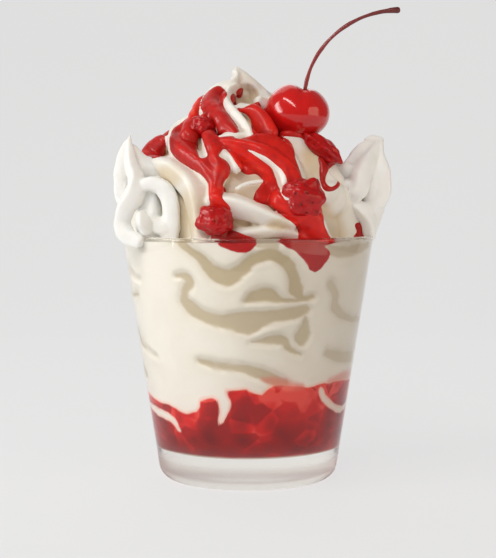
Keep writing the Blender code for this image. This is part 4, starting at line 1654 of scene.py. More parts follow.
@dataclass
class Fill:
    """The soft serve in the glass and the strawberry layer under it, each just into the wall."""

    layer_height: float = 0.0345
    layer_wave: float = 0.0012
    tongues: tuple[Tongue, ...] = (
        (-78, 0.003, 10),
        (-34, 0.007, 9),
        (-13, 0.011, 5),
        (4, 0.0015, 6),
        (57, 0.008, 7),
        (100, 0.006, 9),
        (142, 0.009, 6),
        (178, 0.005, 10),
        (215, 0.010, 6),
        (250, 0.006, 9),
    )
    sides: int = 384
    serve_cuts: int = 108
    layer_cuts: int = 44
    end_insets: tuple[float, ...] = (0.1, 0.2, 0.3, 0.25)
    dished: tuple[float, float] = (0.02, 0.05)  # ends between these heights are dished
    sway: tuple = ((0.9, 0.004, 2.2), (0.5, 0.0015, 6.1))  # degrees, length, seed
    lift: tuple = ((0.00045, 0.0035, 4.4), (0.0002, 0.0014, 9.4))  # metres, length, seed
    into_wall: float = 0.0002
    on_wall: float = 0.001  # points this near the wall take its grooves
    relief: float = 0.0008
    base_height: float = 0.004  # the underside painted pale, as painted light, ends this far above the glass's floor
    under_facing: float = -0.91  # normals that point down more than this are the underside
    under_blend: float = 0.07
    haze_blend_mm: float = 1.6
    grooves: tuple[Flow, ...] = (
        ((-36, 87.6, 1.0), (-29, 84.4, 1.3), (-23, 81.1, 1.7), (-18, 77.2, 2.3), (-13, 74.6, 2.7),
         (-8, 74.3, 2.7), (-3, 76.6, 2.3), (1, 79.6, 2.0), (7, 81.6, 2.0), (13, 81.2, 2.0),
         (18, 78.2, 2.0), (21, 74.1, 2.3), (23, 70.4, 2.7), (26, 67.3, 1.3), (33, 67.1, 0.7)),
        ((5, 85.6, 1.7), (8, 85.6, 2.0), (11, 84.6, 2.0)),
        ((-1, 66.0, 0.5), (2, 67.6, 1.7), (7, 68.6, 2.3), (10, 68.3, 2.3), (14, 66.9, 1.3),
         (21, 66.1, 0.7), (30, 66.9, 0.5)),
        ((-35, 74.2, 0.7), (-31, 74.3, 1.3), (-28, 72.3, 1.7), (-31, 68.9, 1.7), (-31, 65.5, 2.0),
         (-27, 62.9, 2.3), (-21, 60.7, 2.0), (-14, 59.5, 2.3), (-7, 59.2, 3.0), (0, 58.9, 4.0),
         (6, 60.2, 3.0), (14, 61.2, 2.3), (22, 62.0, 2.3), (29, 62.9, 1.7)),
        ((2, 52.2, 0.3), (8, 52.8, 1.0), (13, 53.1, 1.7), (18, 52.6, 1.7), (21, 49.9, 1.0),
         (28, 47.9, 0.5)),
        ((29, 60.2, 0.7), (29, 57.4, 1.7), (29, 54.7, 2.7), (28, 53.4, 2.7)),
        ((-26, 46.0, 0.7), (-19, 44.5, 1.3), (-10, 43.9, 1.3), (-1, 43.0, 1.7), (7, 41.3, 2.0),
         (14, 39.4, 2.0), (21, 37.9, 1.3)),
        ((42, 71.3, 1.3), (47, 67.0, 2.0), (48, 62.9, 2.0), (62, 58.8, 1.3), (90, 57.2, 1.0)),
        ((46, 47.8, 1.3), (55, 45.9, 2.0), (75, 44.3, 2.0)),
        ((36, 84.3, 1.0), (44, 82.1, 2.0), (56, 82.5, 2.0), (73, 84.1, 1.3)),
        ((-88, 77.3, 0.8), (-75, 74.3, 1.0), (-63, 72.3, 0.7)),
        ((-88, 50.0, 0.5), (-67, 47.2, 0.8), (-56, 45.2, 0.5)),
    )
    groove_shades: tuple[float, ...] = (1.0, 0.7, 1.0, 0.9, 0.9, 0.8, 0.9, 0.6, 0.6, 0.7, 0.35, 0.3)
    back_shift: tuple[float, ...] = (112.0, 200.0, 262.0)
    back_span: tuple[tuple[float, float], ...] = ((95.0, 150.0), (150.0, 235.0), (235.0, 275.0))
    top_edge: tuple = (
        (-90, 32.4), (-75, 30.9), (-67, 30.0), (-57.6, 29.0), (-50, 29.2), (-43.3, 27.5), (-38, 26.5),
        (-30.5, 27.5), (-28.1, 29.4), (-27.1, 31.8), (-23.8, 32.7), (-20.1, 33.1), (-16.6, 32.2),
        (-16.3, 28.1), (-18, 23.2), (-14.2, 24.7), (-11, 28.2), (-9, 32), (-11.7, 35.4), (-8.3, 35.8),
        (-1.1, 36.2), (2.8, 35.1), (7.8, 34.1), (11.1, 36.1), (13.3, 37.4), (24.4, 37.1), (31, 36.2),
        (39.3, 36.4), (45.6, 36.8), (59.6, 36.9), (75, 36.2), (90, 35.6), (100, 31), (110, 34),
        (122, 36), (133, 34), (138, 27), (142, 24.5), (146, 28), (150, 34), (165, 35.5), (180, 31),
        (190, 33), (202, 36), (209, 31), (214, 24), (219, 27), (224, 34), (238, 35), (250, 29),
        (262, 31), (270, 32.4),
    )
    streaks: tuple[Flow, ...] = (
        ((-84, 27.2, 1.0), (-67, 25.8, 1.6), (-56, 24.9, 1.6), (-49, 23.6, 1.4), (-45, 20.6, 0.7)),
        ((44, 34.4, 1.2), (49, 31.0, 1.3), (60, 27.4, 1.3), (72, 26.0, 1.2), (86, 28.2, 1.0),
         (96, 32.0, 0.8)),
        ((160, 30.0, 0.8), (172, 26.5, 1.4), (184, 26.0, 1.2)),
        ((232, 29.0, 0.9), (240, 24.0, 1.3), (252, 22.5, 1.0)),
    )
    front_stain: tuple = (
        (9, 90), (10.5, 86.5), (16.1, 84.9), (22, 82.5), (25.8, 79.4), (28.3, 76.7), (31.7, 75.6),
        (35, 76.6), (38.1, 79.2), (40.3, 81.4), (38.6, 82.8), (36, 84.4), (44, 85.5), (60.3, 86.3),
        (90, 86.4), (90, 90),
    )
    moon_stain: tuple = (
        (-16, 90), (-15.1, 86.5), (-12.9, 85.2), (-9.3, 83.6), (-4.9, 82.3), (-1.3, 82.3), (1.3, 83.3),
        (3.5, 84.9), (4.6, 86.2), (5, 90),
    )
    back_stain: tuple = (
        (112, 90), (114, 83), (119, 77), (124, 75.5), (129, 80), (133, 85), (136, 90),
    )
    far_stain: tuple = ((182, 90), (184, 84), (190, 80.5), (197, 82), (201, 86), (202, 90))
    haze: Flow = ((8, 39.6, 0.6), (14, 38.9, 1.4), (22, 37.4, 1.6), (30, 36.6, 1.0))
    haze_right: Flow = ((50, 37.6, 0.8), (62, 38.2, 1.4), (80, 38.0, 1.4))

    def build(self) -> tuple[Piece, Piece]:
        """Make the soft serve in the glass and the strawberry layer.

        Returns:
            The soft serve and the layer.
        """
        serve = self._drum(
            "soft_serve_in_glass", self.serve_cuts, self._split, lambda turn: turn * 0 + FILL_TOP
        )
        layer = self._drum(
            "strawberry_layer_fill", self.layer_cuts, lambda turn: turn * 0 + FOOT_THICKNESS, self._split
        )
        for drum in (serve, layer):
            self._finish_wall(drum)
            Bench.smooth(drum, 50)
        return serve, layer

    def _split(self, turn: Array) -> Array:
        """The height at which the layer meets the soft serve.

        Args:
            turn: turns around Z, in degrees.

        Returns:
            A height for each turn.
        """
        dip = np.zeros(len(turn))
        for middle, depth, half in self.tongues:
            off = (turn - middle + 180) % 360 - 180
            dip += depth * np.exp(-((off / half) ** 2))
        return self.layer_height + self.layer_wave * np.sin(np.radians(5 * turn)) - dip

    def _drum(
        self,
        name: str,
        cuts: int,
        bottom: Callable[[Array], Array],
        top: Callable[[Array], Array],
    ) -> Piece:
        """A drum of fine rings between two edges, with dished ends.

        Args:
            name: the piece's name.
            cuts: how many rings cross its wall.
            bottom: the lower edge's height by turn.
            top: the upper edge's height by turn.

        Returns:
            The drum.
        """
        bpy.ops.mesh.primitive_cylinder_add(vertices=self.sides, radius=1.0, depth=1.0, location=(0, 0, 0.5))
        drum = Bench.named(name)
        Bench.settle(drum)
        with Bench.editing(drum, Elements.EDGES):
            Bench.pick(drum, Elements.EDGES, lambda edge: edge.calc_length() > 0.9)
            bpy.ops.mesh.subdivide(number_cuts=cuts)
            bpy.ops.mesh.select_mode(type="FACE")
            Bench.pick(drum, Elements.FACES, lambda face: abs(face.normal.z) > 0.9)
            for step in self.end_insets:
                bpy.ops.mesh.inset(thickness=step, use_individual=True)
        points = Bench.points(drum)
        share = np.hypot(points[:, 0], points[:, 1])
        turn = np.degrees(np.arctan2(points[:, 0], -points[:, 1]))
        low, high = bottom(turn), top(turn)
        height = low + (high - low) * points[:, 2]
        core = 0.5 * (self.layer_height + height)
        inner = np.where((points[:, 2] > 0.99) | (points[:, 2] < 0.01), 1 - share, 0.0)
        near_split = (height > self.dished[0]) & (height < self.dished[1])
        height = np.where(near_split, height + (core - height) * np.minimum(inner * 2, 1.0), height)
        radius = (WALL.well(np.maximum(height, FOOT_THICKNESS)) + self.into_wall) * share
        angle = np.radians(turn)
        Bench.place(drum, np.stack([radius * np.sin(angle), -radius * np.cos(angle), height], axis=-1))
        return drum

    def _finish_wall(self, drum: Piece) -> None:
        """Press the grooves into the wall and store what the finish reads.

        Args:
            drum: the soft serve or the layer.
        """
        points = Bench.points(drum)
        turn = np.degrees(np.arctan2(points[:, 0], -points[:, 1]))
        height = points[:, 2]
        swayed = stirred(turn, points, self.sway)
        lifted = stirred(height, points, self.lift)
        painted_groove_shade, relief = self._painted_grooves(swayed, lifted)
        red = WALL.outline(swayed, lifted, self._red_outline())
        for streak in self.streaks:
            red = np.minimum(red, -WALL.stroke(swayed, lifted, streak))
        stain = WALL.outline(swayed, lifted, self.front_stain)
        stain = np.maximum(stain, WALL.outline(swayed, lifted, self.moon_stain))
        around = np.where(swayed < 0, swayed + 360, swayed)
        for outline in (self.back_stain, self.far_stain):
            stain = np.maximum(stain, WALL.outline(around, lifted, outline))
        haze, haze_right = (WALL.stroke(swayed, lifted, band) for band in (self.haze, self.haze_right))
        haze = np.maximum(haze, haze_right)
        reach = np.hypot(points[:, 0], points[:, 1])
        on_wall = reach > WALL.well(np.maximum(height, FOOT_THICKNESS)) - self.on_wall
        push = np.where(on_wall, self.relief * (1 - relief), 0.0)
        points[:, :2] *= (1 + push / np.maximum(reach, 1e-4))[:, None]
        Bench.place(drum, points)
        # painted shade in the grooves, for the finish
        Bench.mark(drum, "painted_groove_shade", painted_groove_shade)
        Bench.mark(drum, "red_edge", np.clip(red, -EDGE_LIMIT_MM, EDGE_LIMIT_MM))
        Bench.mark(drum, "stain_edge", np.clip(stain, -EDGE_LIMIT_MM, EDGE_LIMIT_MM))
        Bench.mark(drum, "haze", np.clip(haze / self.haze_blend_mm + 0.6, 0.0, 1.0))
        # marks the underside that the finish paints pale, as painted light
        under = ease((self.under_facing - Bench.normals(drum)[:, 2]) / self.under_blend)
        Bench.mark(drum, "under", under * (height < FOOT_THICKNESS + self.base_height))

    def _red_outline(self) -> tuple:
        """The strawberry's upper edge, run once round and closed well below it.

        Returns:
            Corners of (turn, height in mm).
        """
        edge = [(turn - 360, height) for turn, height in self.top_edge if turn > 150]
        edge += [*self.top_edge, (300, 32)]
        return (*edge, (300, -9), (edge[0][0], -9))

    def _painted_grooves(self, turn: Array, height: Array) -> tuple[Array, Array]:
        """The painted shade of the grooves, and how deep the grooves are, at points of the wall.

        Args:
            turn: the points' turns in degrees.
            height: the points' heights in metres.

        Returns:
            The painted groove shade and the groove depth, both 0 to 1.
        """
        painted_groove_shade = np.zeros(len(turn))
        relief = np.zeros(len(turn))
        for groove, shade in zip(self.grooves, self.groove_shades):
            self._press(groove, shade, turn, height, painted_groove_shade, relief)
        for shift, (first, last) in zip(self.back_shift, self.back_span):
            for groove, shade in zip(self.grooves[:8], self.groove_shades):
                moved = tuple((stop[0] + shift, stop[1], stop[2]) for stop in groove)
                if first < moved[0][0] % 360 < last:
                    self._press(moved, shade, turn, height, painted_groove_shade, relief)
        return painted_groove_shade, relief

    @staticmethod
    def _press(groove: Flow, shade: float, turn: Array, height: Array, painted_groove_shade: Array, relief: Array) -> None:
        """Add one groove to the painted shade and the depth.

        Args:
            groove: its stroke.
            shade: how dark it is.
            turn: the points' turns in degrees.
            height: the points' heights in metres.
            painted_groove_shade: the tint, which is raised.
            relief: the depth, which is raised.
        """
        inside = WALL.stroke(turn, height, groove)
        # painted shade: full inside the groove, with a faint fringe around it
        np.maximum(painted_groove_shade, shade * ease(inside / 1.1 + 0.5), out=painted_groove_shade)
        np.maximum(painted_groove_shade, shade * 0.3 * np.exp(-np.maximum(-inside, 0.0) / 1.8), out=painted_groove_shade)
        np.maximum(relief, ease(inside / 2.6 + 0.7), out=relief)


# ---------- The tumbler ----------


@dataclass
class Tumbler:
    """A plain tapered glass with a thick foot."""

    sides: int = 192
    lip_round: float = 0.0008
    lip_steps: int = 4
    foot_steps: int = 8

    def build(self) -> Piece:
        """Model the glass from a cone: hollow it out, then round its lip, foot and well.

        Returns:
            The glass.
        """
        foot_radius = RIM_RADIUS - TAPER * RIM_HEIGHT
        bpy.ops.mesh.primitive_cone_add(
            vertices=self.sides,
            radius1=foot_radius,
            radius2=RIM_RADIUS,
            depth=RIM_HEIGHT,
            location=(0, 0, RIM_HEIGHT / 2),
        )
        glass = Bench.named("glass_tumbler")
        Bench.settle(glass)
        depth = RIM_HEIGHT - FOOT_THICKNESS
        narrow = float(WALL.inner(FOOT_THICKNESS) / (RIM_RADIUS - RIM_WALL))
        with Bench.editing(glass):
            Bench.pick(glass, Elements.FACES, lambda face: face.normal.z > 0.9)
            bpy.ops.mesh.inset(thickness=RIM_WALL)
            bpy.ops.mesh.extrude_region_move(TRANSFORM_OT_translate={"value": (0.0, 0.0, -depth)})
            bpy.ops.transform.resize(value=(narrow, narrow, 1.0))
        self._round(glass, RIM_HEIGHT, self.lip_round, self.lip_steps)
        self._round(glass, 0.0, FOOT_ROUND, self.foot_steps)
        self._round(glass, FOOT_THICKNESS, WELL_ROUND, self.foot_steps)
        Bench.outward(glass)
        Bench.smooth(glass, 40)
        return glass

    @staticmethod
    def _round(glass: Piece, level: float, radius: float, steps: int) -> None:
        """Bevel the edges that run round at a height.

        Args:
            glass: the tumbler.
            level: the edges' height.
            radius: the bevel's size.
            steps: its segments.
        """
        with Bench.editing(glass, Elements.EDGES):
            Bench.pick(
                glass,
                Elements.EDGES,
                lambda edge: all(abs(end.co.z - level) < LEVEL_SLACK for end in edge.verts),
            )
            bpy.ops.mesh.bevel(offset=radius, segments=steps, affect="EDGES")


# ---------- The whipped dollops ----------

Strand = tuple[tuple[float, float, float, float], ...]  # x, y, height and radius, in mm


@dataclass
class Dollop:
    """A whipped dollop: piped strands, seen from its own middle, fused into one."""

    name: str
    node: str
    middle: tuple[float, float, float]  # metres; the height is measured from the rim
    strands: tuple[Strand, ...]
    crest: float = 0.3
    axis_back: float = 0.006  # how far behind its middle the strands are seen from
    waves: tuple = ((0.004, 0.00025), (0.0015, 0.00007))  # length and height
    voxel: float = 0.00042
    rounds: int = 4

    def build(self, blank: RopeBlank) -> Piece:
        """Lay and fuse the strands.

        Args:
            blank: the bar that the strands are laid from.

        Returns:
            The dollop.
        """
        centre = np.array(self.middle) + (0.0, 0.0, RIM_HEIGHT)
        ropes = []
        for index, strand in enumerate(self.strands):
            stops = np.array(strand, float) * MM
            stops[:, :3] += centre
            ropes.append(blank.lay(f"{self.name} strand {index}", stops, self._outward, self.crest))
        dollop = fuse(self.name, ropes, self.voxel, self.rounds)
        roughen(dollop, *self.waves)
        # painted shade in the dollop's creases
        mark_creases(dollop)
        return dollop

    def _outward(self, points: Array) -> Array:
        """The direction away from the dollop's middle."""
        centre = np.array(self.middle) + (0.0, self.axis_back, RIM_HEIGHT)
        return points - centre


LEFT_DOLLOP = Dollop(
    name="whipped_dollop_left",
    node="whipped_cream_left",
    middle=(-0.0340, -0.0220, 0.0110),
    strands=(
        ((-6.3, 2.0, 24.7, 0.2), (-6.6, 1.5, 21.2, 0.9), (-6.2, 0.5, 17.1, 1.7),
         (-5.4, -0.5, 12.6, 2.4), (-4.0, -1.5, 7.8, 3.1), (-4.7, -1.5, 3.3, 3.4),
         (-7.4, -1.0, -0.8, 3.3), (-8.5, -1.0, -4.6, 2.7)),
        ((-6.7, 2.5, 23.3, 0.3), (-8.4, 2.0, 18.8, 1.4), (-9.4, 1.5, 13.6, 1.9), (-9.7, 1.0, 8.5, 2.1),
         (-9.2, 0.0, 3.3, 2.2), (-7.8, -0.5, -0.8, 2.2)),
        ((-5.7, 3.5, 19.6, 1.2), (-2.7, 4.0, 14.4, 2.6), (2.2, 4.0, 11.6, 3.5), (6.7, 3.0, 9.5, 3.8)),
        ((-2.9, -2.0, 6.1, 1.9), (0.9, -3.0, 7.1, 2.6), (4.7, -3.5, 6.0, 2.9), (7.1, -3.5, 2.6, 3.1),
         (7.8, -3.5, -1.8, 3.1), (7.8, -3.5, -6.6, 3.1), (7.1, -3.5, -11.3, 3.1)),
        ((1.2, -2.5, -6.6, 2.4), (5.0, -3.0, -7.3, 3.2), (8.4, -3.0, -7.9, 2.9)),
        ((-2.0, -5.0, -3.8, 2.0), (-1.6, -5.5, -5.8, 2.7), (-0.6, -5.0, -8.2, 2.2)),
        ((-8.8, -1.0, -2.2, 2.4), (-8.8, -1.0, -6.6, 2.7), (-7.0, -2.0, -10.4, 2.9),
         (-3.4, -4.0, -12.3, 2.2)),
        ((0.5, 3.5, 5.0, 4.1), (0.5, 3.5, -0.1, 4.5), (0.5, 2.5, -7.0, 5.2), (1.9, 2.5, -12.2, 4.8)),
    ),
)
RIGHT_DOLLOP = Dollop(
    name="whipped_dollop_right",
    node="whipped_cream_right",
    middle=(0.0400, -0.0040, 0.0120),
    strands=(
        ((4.7, 2.0, 20.9, 1.4), (1.8, 1.5, 18.3, 2.7), (-0.8, 1.0, 15.1, 3.2), (-3.0, 0.5, 11.5, 3.6),
         (-5.1, 0.0, 8.3, 3.6), (-8.4, -1.0, 5.5, 2.8)),
        ((6.4, 1.0, 20.5, 1.1), (4.0, -1.0, 16.9, 2.1), (1.4, -3.0, 12.6, 3.2), (-0.5, -4.5, 8.3, 3.7),
         (-1.6, -5.0, 4.1, 3.7), (-3.3, -4.0, 1.2, 2.5)),
        ((1.8, 2.0, 21.9, 0.7), (4.7, 2.0, 22.3, 1.1), (7.8, 1.5, 21.9, 0.7)),
        ((7.1, 1.0, 20.8, 1.1), (6.6, 0.0, 16.5, 1.8), (7.2, -1.0, 11.9, 2.7), (7.5, -1.5, 6.9, 3.0),
         (6.9, -1.0, 1.9, 3.4), (4.0, -1.0, -1.6, 3.0)),
        ((5.3, 1.0, 17.6, 1.1), (4.2, -0.4, 11.9, 2.3), (3.9, -0.8, 6.2, 2.8), (3.1, -0.6, 1.2, 2.8)),
        ((-2.9, -3.0, -0.9, 1.8), (0.7, -3.0, -3.4, 3.4), (2.5, -2.0, -6.6, 3.2),
         (3.0, -1.0, -10.5, 2.8)),
        ((-9.6, -3.0, 11.1, 1.6), (-6.7, -3.0, 10.8, 2.5), (-3.5, -2.0, 10.4, 2.3)),
        ((-7.9, -4.0, 5.1, 1.8), (-5.5, -5.0, 5.8, 2.3), (-2.7, -5.0, 5.5, 2.1)),
        ((-11.1, -5.0, 11.5, 1.9), (-11.5, -5.5, 8.6, 2.3), (-11.1, -5.0, 6.2, 1.9)),
        ((4.2, 5.0, 12.0, 4.0), (3.6, 6.0, 3.4, 5.4), (1.4, 6.0, -4.2, 5.4), (-0.8, 5.0, -11.4, 5.4)),
    ),
)


# ---------- The cherry and its stem ----------


@dataclass
class Cherry:
    """A preserved cherry: heart-shaped shoulders round the dimple that its stem stands in."""

    place: tuple[float, float, float] = (0.0173, -0.0105, 0.0433)
    half: tuple[float, float, float] = (0.0113, 0.0108, 0.0095)
    dimple: float = 0.0022
    dimple_spread: float = 0.22  # this and the next five are shares of the radius
    dimple_aside: float = 0.06
    groove_spread: float = 0.16
    shoulder_aside: float = -0.45
    shoulder_spread: float = 0.35
    lump: float = 0.012
    groove: float = 0.0007
    shoulder: float = 0.0005
    tilt: tuple[float, float] = (8.0, 8.0)  # degrees

    def build(self) -> Piece:
        """Model the cherry from a fine ball.

        Returns:
            The cherry.
        """
        bpy.ops.mesh.primitive_uv_sphere_add(segments=96, ring_count=64, radius=1.0)
        cherry = Bench.named("cherry_fruit")
        points = Bench.points(cherry)
        x, y, z = points.T
        across = np.hypot(x - self.dimple_aside, y)
        top = ease(z * 2)
        dent = self.dimple * np.exp(-((across / self.dimple_spread) ** 2)) * top
        groove = self.groove * np.exp(-(((x - self.dimple_aside) / self.groove_spread) ** 2))
        groove = groove * ease((z + 0.1) * 1.2)
        shoulder = self.shoulder * np.exp(-(((x - self.shoulder_aside) / self.shoulder_spread) ** 2)) * top
        lump = 1 + self.lump * wobble(points, 0.7, 2.5)
        shaped = np.column_stack([x, y, z]) * lump[:, None] * self.half
        shaped[:, 2] += shoulder - dent - groove
        # painted shade: darker towards the bottom and in the dimple
        Bench.mark(cherry, "shade", np.clip(0.15 - 0.4 * z + 2.2 * dent / self.dimple * 0.4, 0.0, 1.0))
        Bench.place(cherry, shaped)
        cherry.rotation_euler = (math.radians(self.tilt[0]), math.radians(self.tilt[1]), 0.0)
        cherry.location = Vector(self.place) + Vector((0, 0, RIM_HEIGHT))
        Bench.settle(cherry)
        Bench.smooth(cherry, 80)
        return cherry


@dataclass
class Stem:
    """A thin stem that leaves the dimple steeply and bends over to +X, wider at its cut end."""

    radius: float = 0.00065
    tip: float = 0.0012
    reach: tuple[float, float] = (0.0320, 0.0280)  # sideways and up
    bend: float = 88.0  # degrees
    lean: float = 0.14  # how straight it leans rather than bends
    flare: float = 0.1  # the share of its length over which it widens
    foot_aside: float = 0.0026  # from the cherry's middle
    unevenness: float = 0.00008
    bark: float = 0.00007

    def build(self, blank: RopeBlank, cherry: Cherry) -> Piece:
        """Lay the stem out of the cherry's dimple.

        Args:
            blank: the bar that it is laid from.
            cherry: gives the place of its foot.

        Returns:
            The stem.
        """
        foot = Vector(cherry.place) + Vector(
            (self.foot_aside, 0.0, RIM_HEIGHT + cherry.half[2] - cherry.dimple)
        )
        turn = math.radians(self.bend)
        share = np.linspace(-0.02, 1.0, 24)
        swing = (1 - np.cos(turn * share)) / (1 - math.cos(turn))
        beside = self.reach[0] * (self.lean * share + (1 - self.lean) * swing)
        above = self.reach[1] * np.sin(turn * share) / math.sin(turn)
        thick = self.radius + (self.tip - self.radius) * ease((share - 1 + self.flare) / self.flare)
        thick += self.unevenness * np.sin(share * 23.0)
        stops = np.column_stack([foot.x + beside, share * 0 + foot.y, foot.z + above, thick])
        stem = blank.lay("cherry_stem_bent", stops, self._outward)
        points = Bench.points(stem)
        Bench.mark(stem, "along", (points[:, 0] - foot.x) / self.reach[0])
        rough = self.bark * wobble(points, 0.0012, 4.0)
        Bench.place(stem, points + Bench.normals(stem) * rough[:, None])
        Bench.smooth(stem, 60)
        return stem

    @staticmethod
    def _outward(points: Array) -> Array:
        """A steady direction across the stem's bend."""
        return np.tile((0.0, -1.0, 0.0), (len(points), 1))


# ---------- Strawberry pieces ----------


@dataclass
class StrawberryPiece:
    """A cut piece of strawberry: an uneven chunk, pitted where its seeds sit."""

    name: str
    node: str
    place: tuple[float, float, float]
    half: tuple[float, float, float]
    tilt: tuple[float, float, float]
    seed: int
    pits: int = 40
    pit_depth: float = 0.06
    pit_width: float = 0.06
    lumps: tuple[float, float, float] = (0.09, 0.07, 0.12)
    grain: float = 0.025
    shake: float = 0.07

    def build(self) -> Piece:
        """Model the chunk from a fine ball.

        Returns:
            The piece.
        """
        bpy.ops.mesh.primitive_ico_sphere_add(subdivisions=6, radius=1.0)
        piece = Bench.named(self.name)
        points = Bench.points(piece)
        x, y, z = points.T
        lump = self.lumps[0] * np.sin(5.1 * x + self.seed) * np.cos(4.3 * y - self.seed)
        lump += self.lumps[1] * np.sin(6.7 * z + 2 * self.seed)
        lump += self.lumps[2] * wobble(points, 0.5, self.seed)
        pit = np.zeros(len(points))
        for spot in self._spots():
            near = np.linalg.norm(points - spot, axis=1)
            pit = np.maximum(pit, np.exp(-((near / self.pit_width) ** 2)))
        size = 1 + lump - self.pit_depth * pit + self.grain * wobble(points, 0.16, self.seed + 4)
        Bench.place(piece, points * size[:, None] * self.half)
        Bench.mark(piece, "pit", pit)
        self._lie(piece)
        Bench.smooth(piece, 70)
        return piece

    def _spots(self) -> Array:
        """Where the pits lie on a unit ball: an even spiral, shaken a little.

        Returns:
            Rows of x, y and z.
        """
        shake = np.random.default_rng(self.seed)
        index = np.arange(self.pits) + 0.5
        height = 1 - 2 * index / self.pits
        turn = index * math.pi * (3 - math.sqrt(5))
        reach = np.sqrt(1 - height**2)
        spots = np.column_stack([reach * np.cos(turn), reach * np.sin(turn), height])
        spots += shake.normal(0.0, self.shake, spots.shape)
        return spots / np.linalg.norm(spots, axis=1)[:, None]

    def _lie(self, piece: Piece) -> None:
        """Turn and move the piece to where it lies, in its mesh.

        Args:
            piece: the chunk, still round the origin.
        """
        piece.rotation_euler = [math.radians(angle) for angle in self.tilt]
        piece.location = Vector(self.place) + Vector((0, 0, RIM_HEIGHT))
        Bench.settle(piece)


BERRIES = (
    StrawberryPiece(
        "strawberry_chunk_front", "strawberry_piece_front",
        (0.0187, -0.0345, 0.0135), (0.0074, 0.0052, 0.0068), (10, 15, 8), 3, pits=40,
    ),
    StrawberryPiece(
        "strawberry_chunk_left", "strawberry_piece_left",
        (-0.0110, -0.0400, 0.0060), (0.0060, 0.0045, 0.0052), (0, 10, -5), 5, pits=24,
    ),
    StrawberryPiece(
        "strawberry_chunk_under_cherry", "strawberry_piece_under_cherry",
        (0.0256, -0.0150, 0.0306), (0.0082, 0.0042, 0.0034), (0, 38, 10), 7, pits=24,
    ),
    StrawberryPiece(
        "strawberry_chunk_upper", "strawberry_piece_upper",
        (-0.0152, -0.0203, 0.0376), (0.0044, 0.0034, 0.0036), (0, 25, 20), 9, pits=14,
    ),
)


# ---------- The studio ----------


@dataclass(frozen=True)
class Lamp:
    """One soft rectangular light that faces the middle of the glass."""

    name: str
    place: tuple[float, float, float]
    size: tuple[float, float]  # width and height
    power: float  # watts
    colour: Colour
    roll: float = 0.0  # its turn about its own beam, in degrees
    gloss_only: bool = False  # whether it shows in glossy surfaces only
    aim_height: float = 0.09

    def hang(self) -> None:
        """Add the light to the scene."""
        bpy.ops.object.light_add(type="AREA", location=self.place)
        lamp = bpy.context.view_layer.objects.active
        lamp.name = self.name
        lamp.data.shape = "RECTANGLE"
        lamp.data.size, lamp.data.size_y = self.size
        lamp.data.energy = self.power
        lamp.data.color = self.colour
        lamp.visible_diffuse = not self.gloss_only
        aim = (Vector((0, 0, self.aim_height)) - Vector(self.place)).to_track_quat("-Z", "Y")
        lamp.rotation_euler = (aim @ Quaternion((0, 0, 1), math.radians(self.roll))).to_euler()


LAMPS = (
    Lamp("side", (-0.56, -0.22, 0.26), (0.15, 0.50), 1.36, (1.0, 0.99, 0.96), roll=40.0),
    Lamp("front", (-0.24, -0.44, 0.55), (0.09, 0.70), 2.28, (1.0, 0.985, 0.95), roll=60.0),
    Lamp(
        "glint", (-0.58, -0.16, 0.22), (0.14, 0.40), 1.10, (1.0, 0.98, 0.96), roll=35.0, gloss_only=True
    ),
    Lamp("fill", (0.60, -0.40, 0.16), (0.50, 0.50), 1.5, (1.0, 0.84, 0.66)),
    Lamp("back", (-0.10, 0.45, 0.60), (0.60, 0.60), 0.8, (1.0, 1.0, 1.0)),
)


@dataclass
class Studio:
    """A pale sweep, soft light mostly from the left, and the camera."""

    lens: float = 91.7
    eye: tuple[float, float, float] = (0.0, -0.510, 0.102)
    down: float = 3.46  # degrees that the camera looks down
    sweep_width: float = 1.8
    sweep_front: float = -0.5
    sweep_back: float = 0.9
    sweep_height: float = 0.8
    sweep_bend: float = 0.45
    air: Colour = (1.0, 0.97, 0.93)
    ambient: float = 0.18

    def build(self) -> None:
        """Set up the sweep, lights, world and camera."""
        self._sweep()
        for lamp in LAMPS:
            lamp.hang()
        self._world()
        self._camera()

    def _sweep(self) -> None:
        """A floor that curves up into a backdrop."""
        bpy.ops.mesh.primitive_plane_add(size=1.0)
        sweep = Bench.named("studio_sweep")
        middle = (self.sweep_front + self.sweep_back) / 2
        sweep.scale = (self.sweep_width, self.sweep_back - self.sweep_front, 1.0)
        sweep.location = (0.0, middle, 0.0)
        Bench.settle(sweep)
        with Bench.editing(sweep, Elements.EDGES):
            Bench.pick(sweep, Elements.EDGES, self._at_back)
            lift = {"value": (0.0, 0.0, self.sweep_height)}
            bpy.ops.mesh.extrude_region_move(TRANSFORM_OT_translate=lift)
            Bench.pick(
                sweep,
                Elements.EDGES,
                lambda edge: self._at_back(edge) and all(abs(end.co.z) < MM for end in edge.verts),
            )
            bpy.ops.mesh.bevel(offset=self.sweep_bend, segments=20, affect="EDGES")
            bpy.ops.mesh.select_all(action="SELECT")
            bpy.ops.mesh.normals_make_consistent(inside=False)
        Bench.smooth(sweep, 60)
        StageFinish("studio paper").dress(sweep)

    def _at_back(self, edge: bmesh.types.BMEdge) -> bool:
        """Whether an edge lies at the sweep's back."""
        return all(end.co.y > self.sweep_back - MM for end in edge.verts)

    def _world(self) -> None:
        """Even, faintly warm light from all round."""
        world = bpy.data.worlds.new("studio air")
        world.use_nodes = True
        air = world.node_tree.nodes["Background"]
        air.inputs["Color"].default_value = (*self.air, 1.0)
        air.inputs["Strength"].default_value = self.ambient
        bpy.context.scene.world = world

    def _camera(self) -> None:
        """Place the camera in front, a little above the rim."""
        bpy.ops.object.camera_add(location=self.eye, rotation=(math.radians(90 - self.down), 0.0, 0.0))
        camera = bpy.context.view_layer.objects.active
        camera.data.lens = self.lens
        camera.data.sensor_width = 36.0
        bpy.context.scene.camera = camera
        bpy.context.scene.view_settings.view_transform = "Standard"


# ---------- The sundae ----------


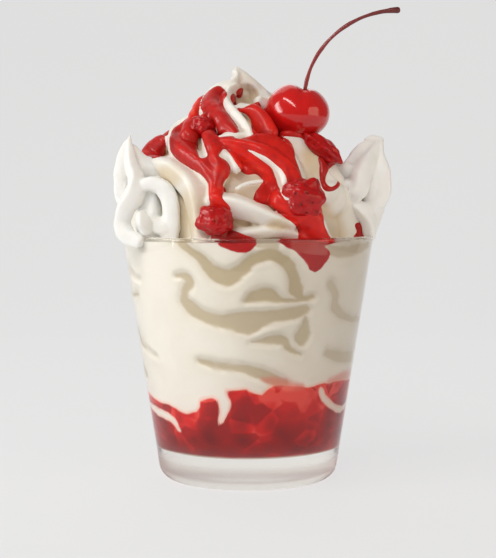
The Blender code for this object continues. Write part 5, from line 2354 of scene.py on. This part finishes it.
@dataclass
class Sundae:
    """The whole: builds every sub-assembly, dresses it and hands it to the frame."""

    blank: RopeBlank = field(default_factory=RopeBlank)

    def build(self) -> None:
        """Build the sundae's pieces in order."""
        self._creams()
        self._fruit()
        tumbler = Tumbler().build()
        GlassFinish("clear glass").dress(tumbler)
        Bench.seat(tumbler, Slot.GLASS, "glass")
        self.blank.discard()

    def _creams(self) -> None:
        """The fill, the swirl, the sauce and the dollops."""
        serve, layer = Fill().build()
        FillFinish("fill through glass").dress(serve, layer)
        Bench.seat(serve, Slot.SOFT_SERVE, "soft_serve")
        Bench.seat(layer, Slot.SAUCE, "strawberry_layer")
        form = Swirl()
        swirl = form.build(self.blank)
        sauce = Sauce().build(swirl)
        # painted shade in the swirl's creases, recesses and shaded faces
        mark_creases(swirl, form.shade_tint * form.recess(swirl))
        Bench.smooth(swirl, 80)
        Bench.smooth(sauce, 80)
        CreamFinish("soft serve").dress(swirl)
        SauceFinish("strawberry sauce").dress(sauce)
        Bench.seat(swirl, Slot.SOFT_SERVE, "soft_serve")
        Bench.seat(sauce, Slot.SAUCE)
        # the whipped cream's second colour is a grey-warm painted shade for its creases
        whipped = CreamFinish(
            "whipped cream", colour=(0.95, 0.94, 0.91), crease_shade=(0.62, 0.60, 0.53), roughness=0.5, coat=0.05
        )
        for dollop in (LEFT_DOLLOP, RIGHT_DOLLOP):
            piece = dollop.build(self.blank)
            whipped.dress(piece)
            Bench.smooth(piece, 80)
            Bench.seat(piece, Slot.WHIPPED, dollop.node)

    def _fruit(self) -> None:
        """The cherry, its stem and the strawberry pieces."""
        cherry = Cherry()
        fruit = cherry.build()
        CherryFinish("cherry skin").dress(fruit)
        Bench.seat(fruit, Slot.CHERRY, "cherry")
        stem = Stem().build(self.blank, cherry)
        StemFinish("cherry stem").dress(stem)
        Bench.seat(stem, Slot.STEM, "cherry_stem")
        skin = BerryFinish("strawberry piece")
        for berry in BERRIES:
            piece = berry.build()
            skin.dress(piece)
            Bench.seat(piece, Slot.STRAWBERRY, berry.node)


def main() -> None:
    """Build the sundae and the studio, and measure the result."""
    logging.basicConfig(level=logging.INFO, format="%(message)s")
    Studio().build()
    Sundae().build()


if __name__ == "__main__":
    main()
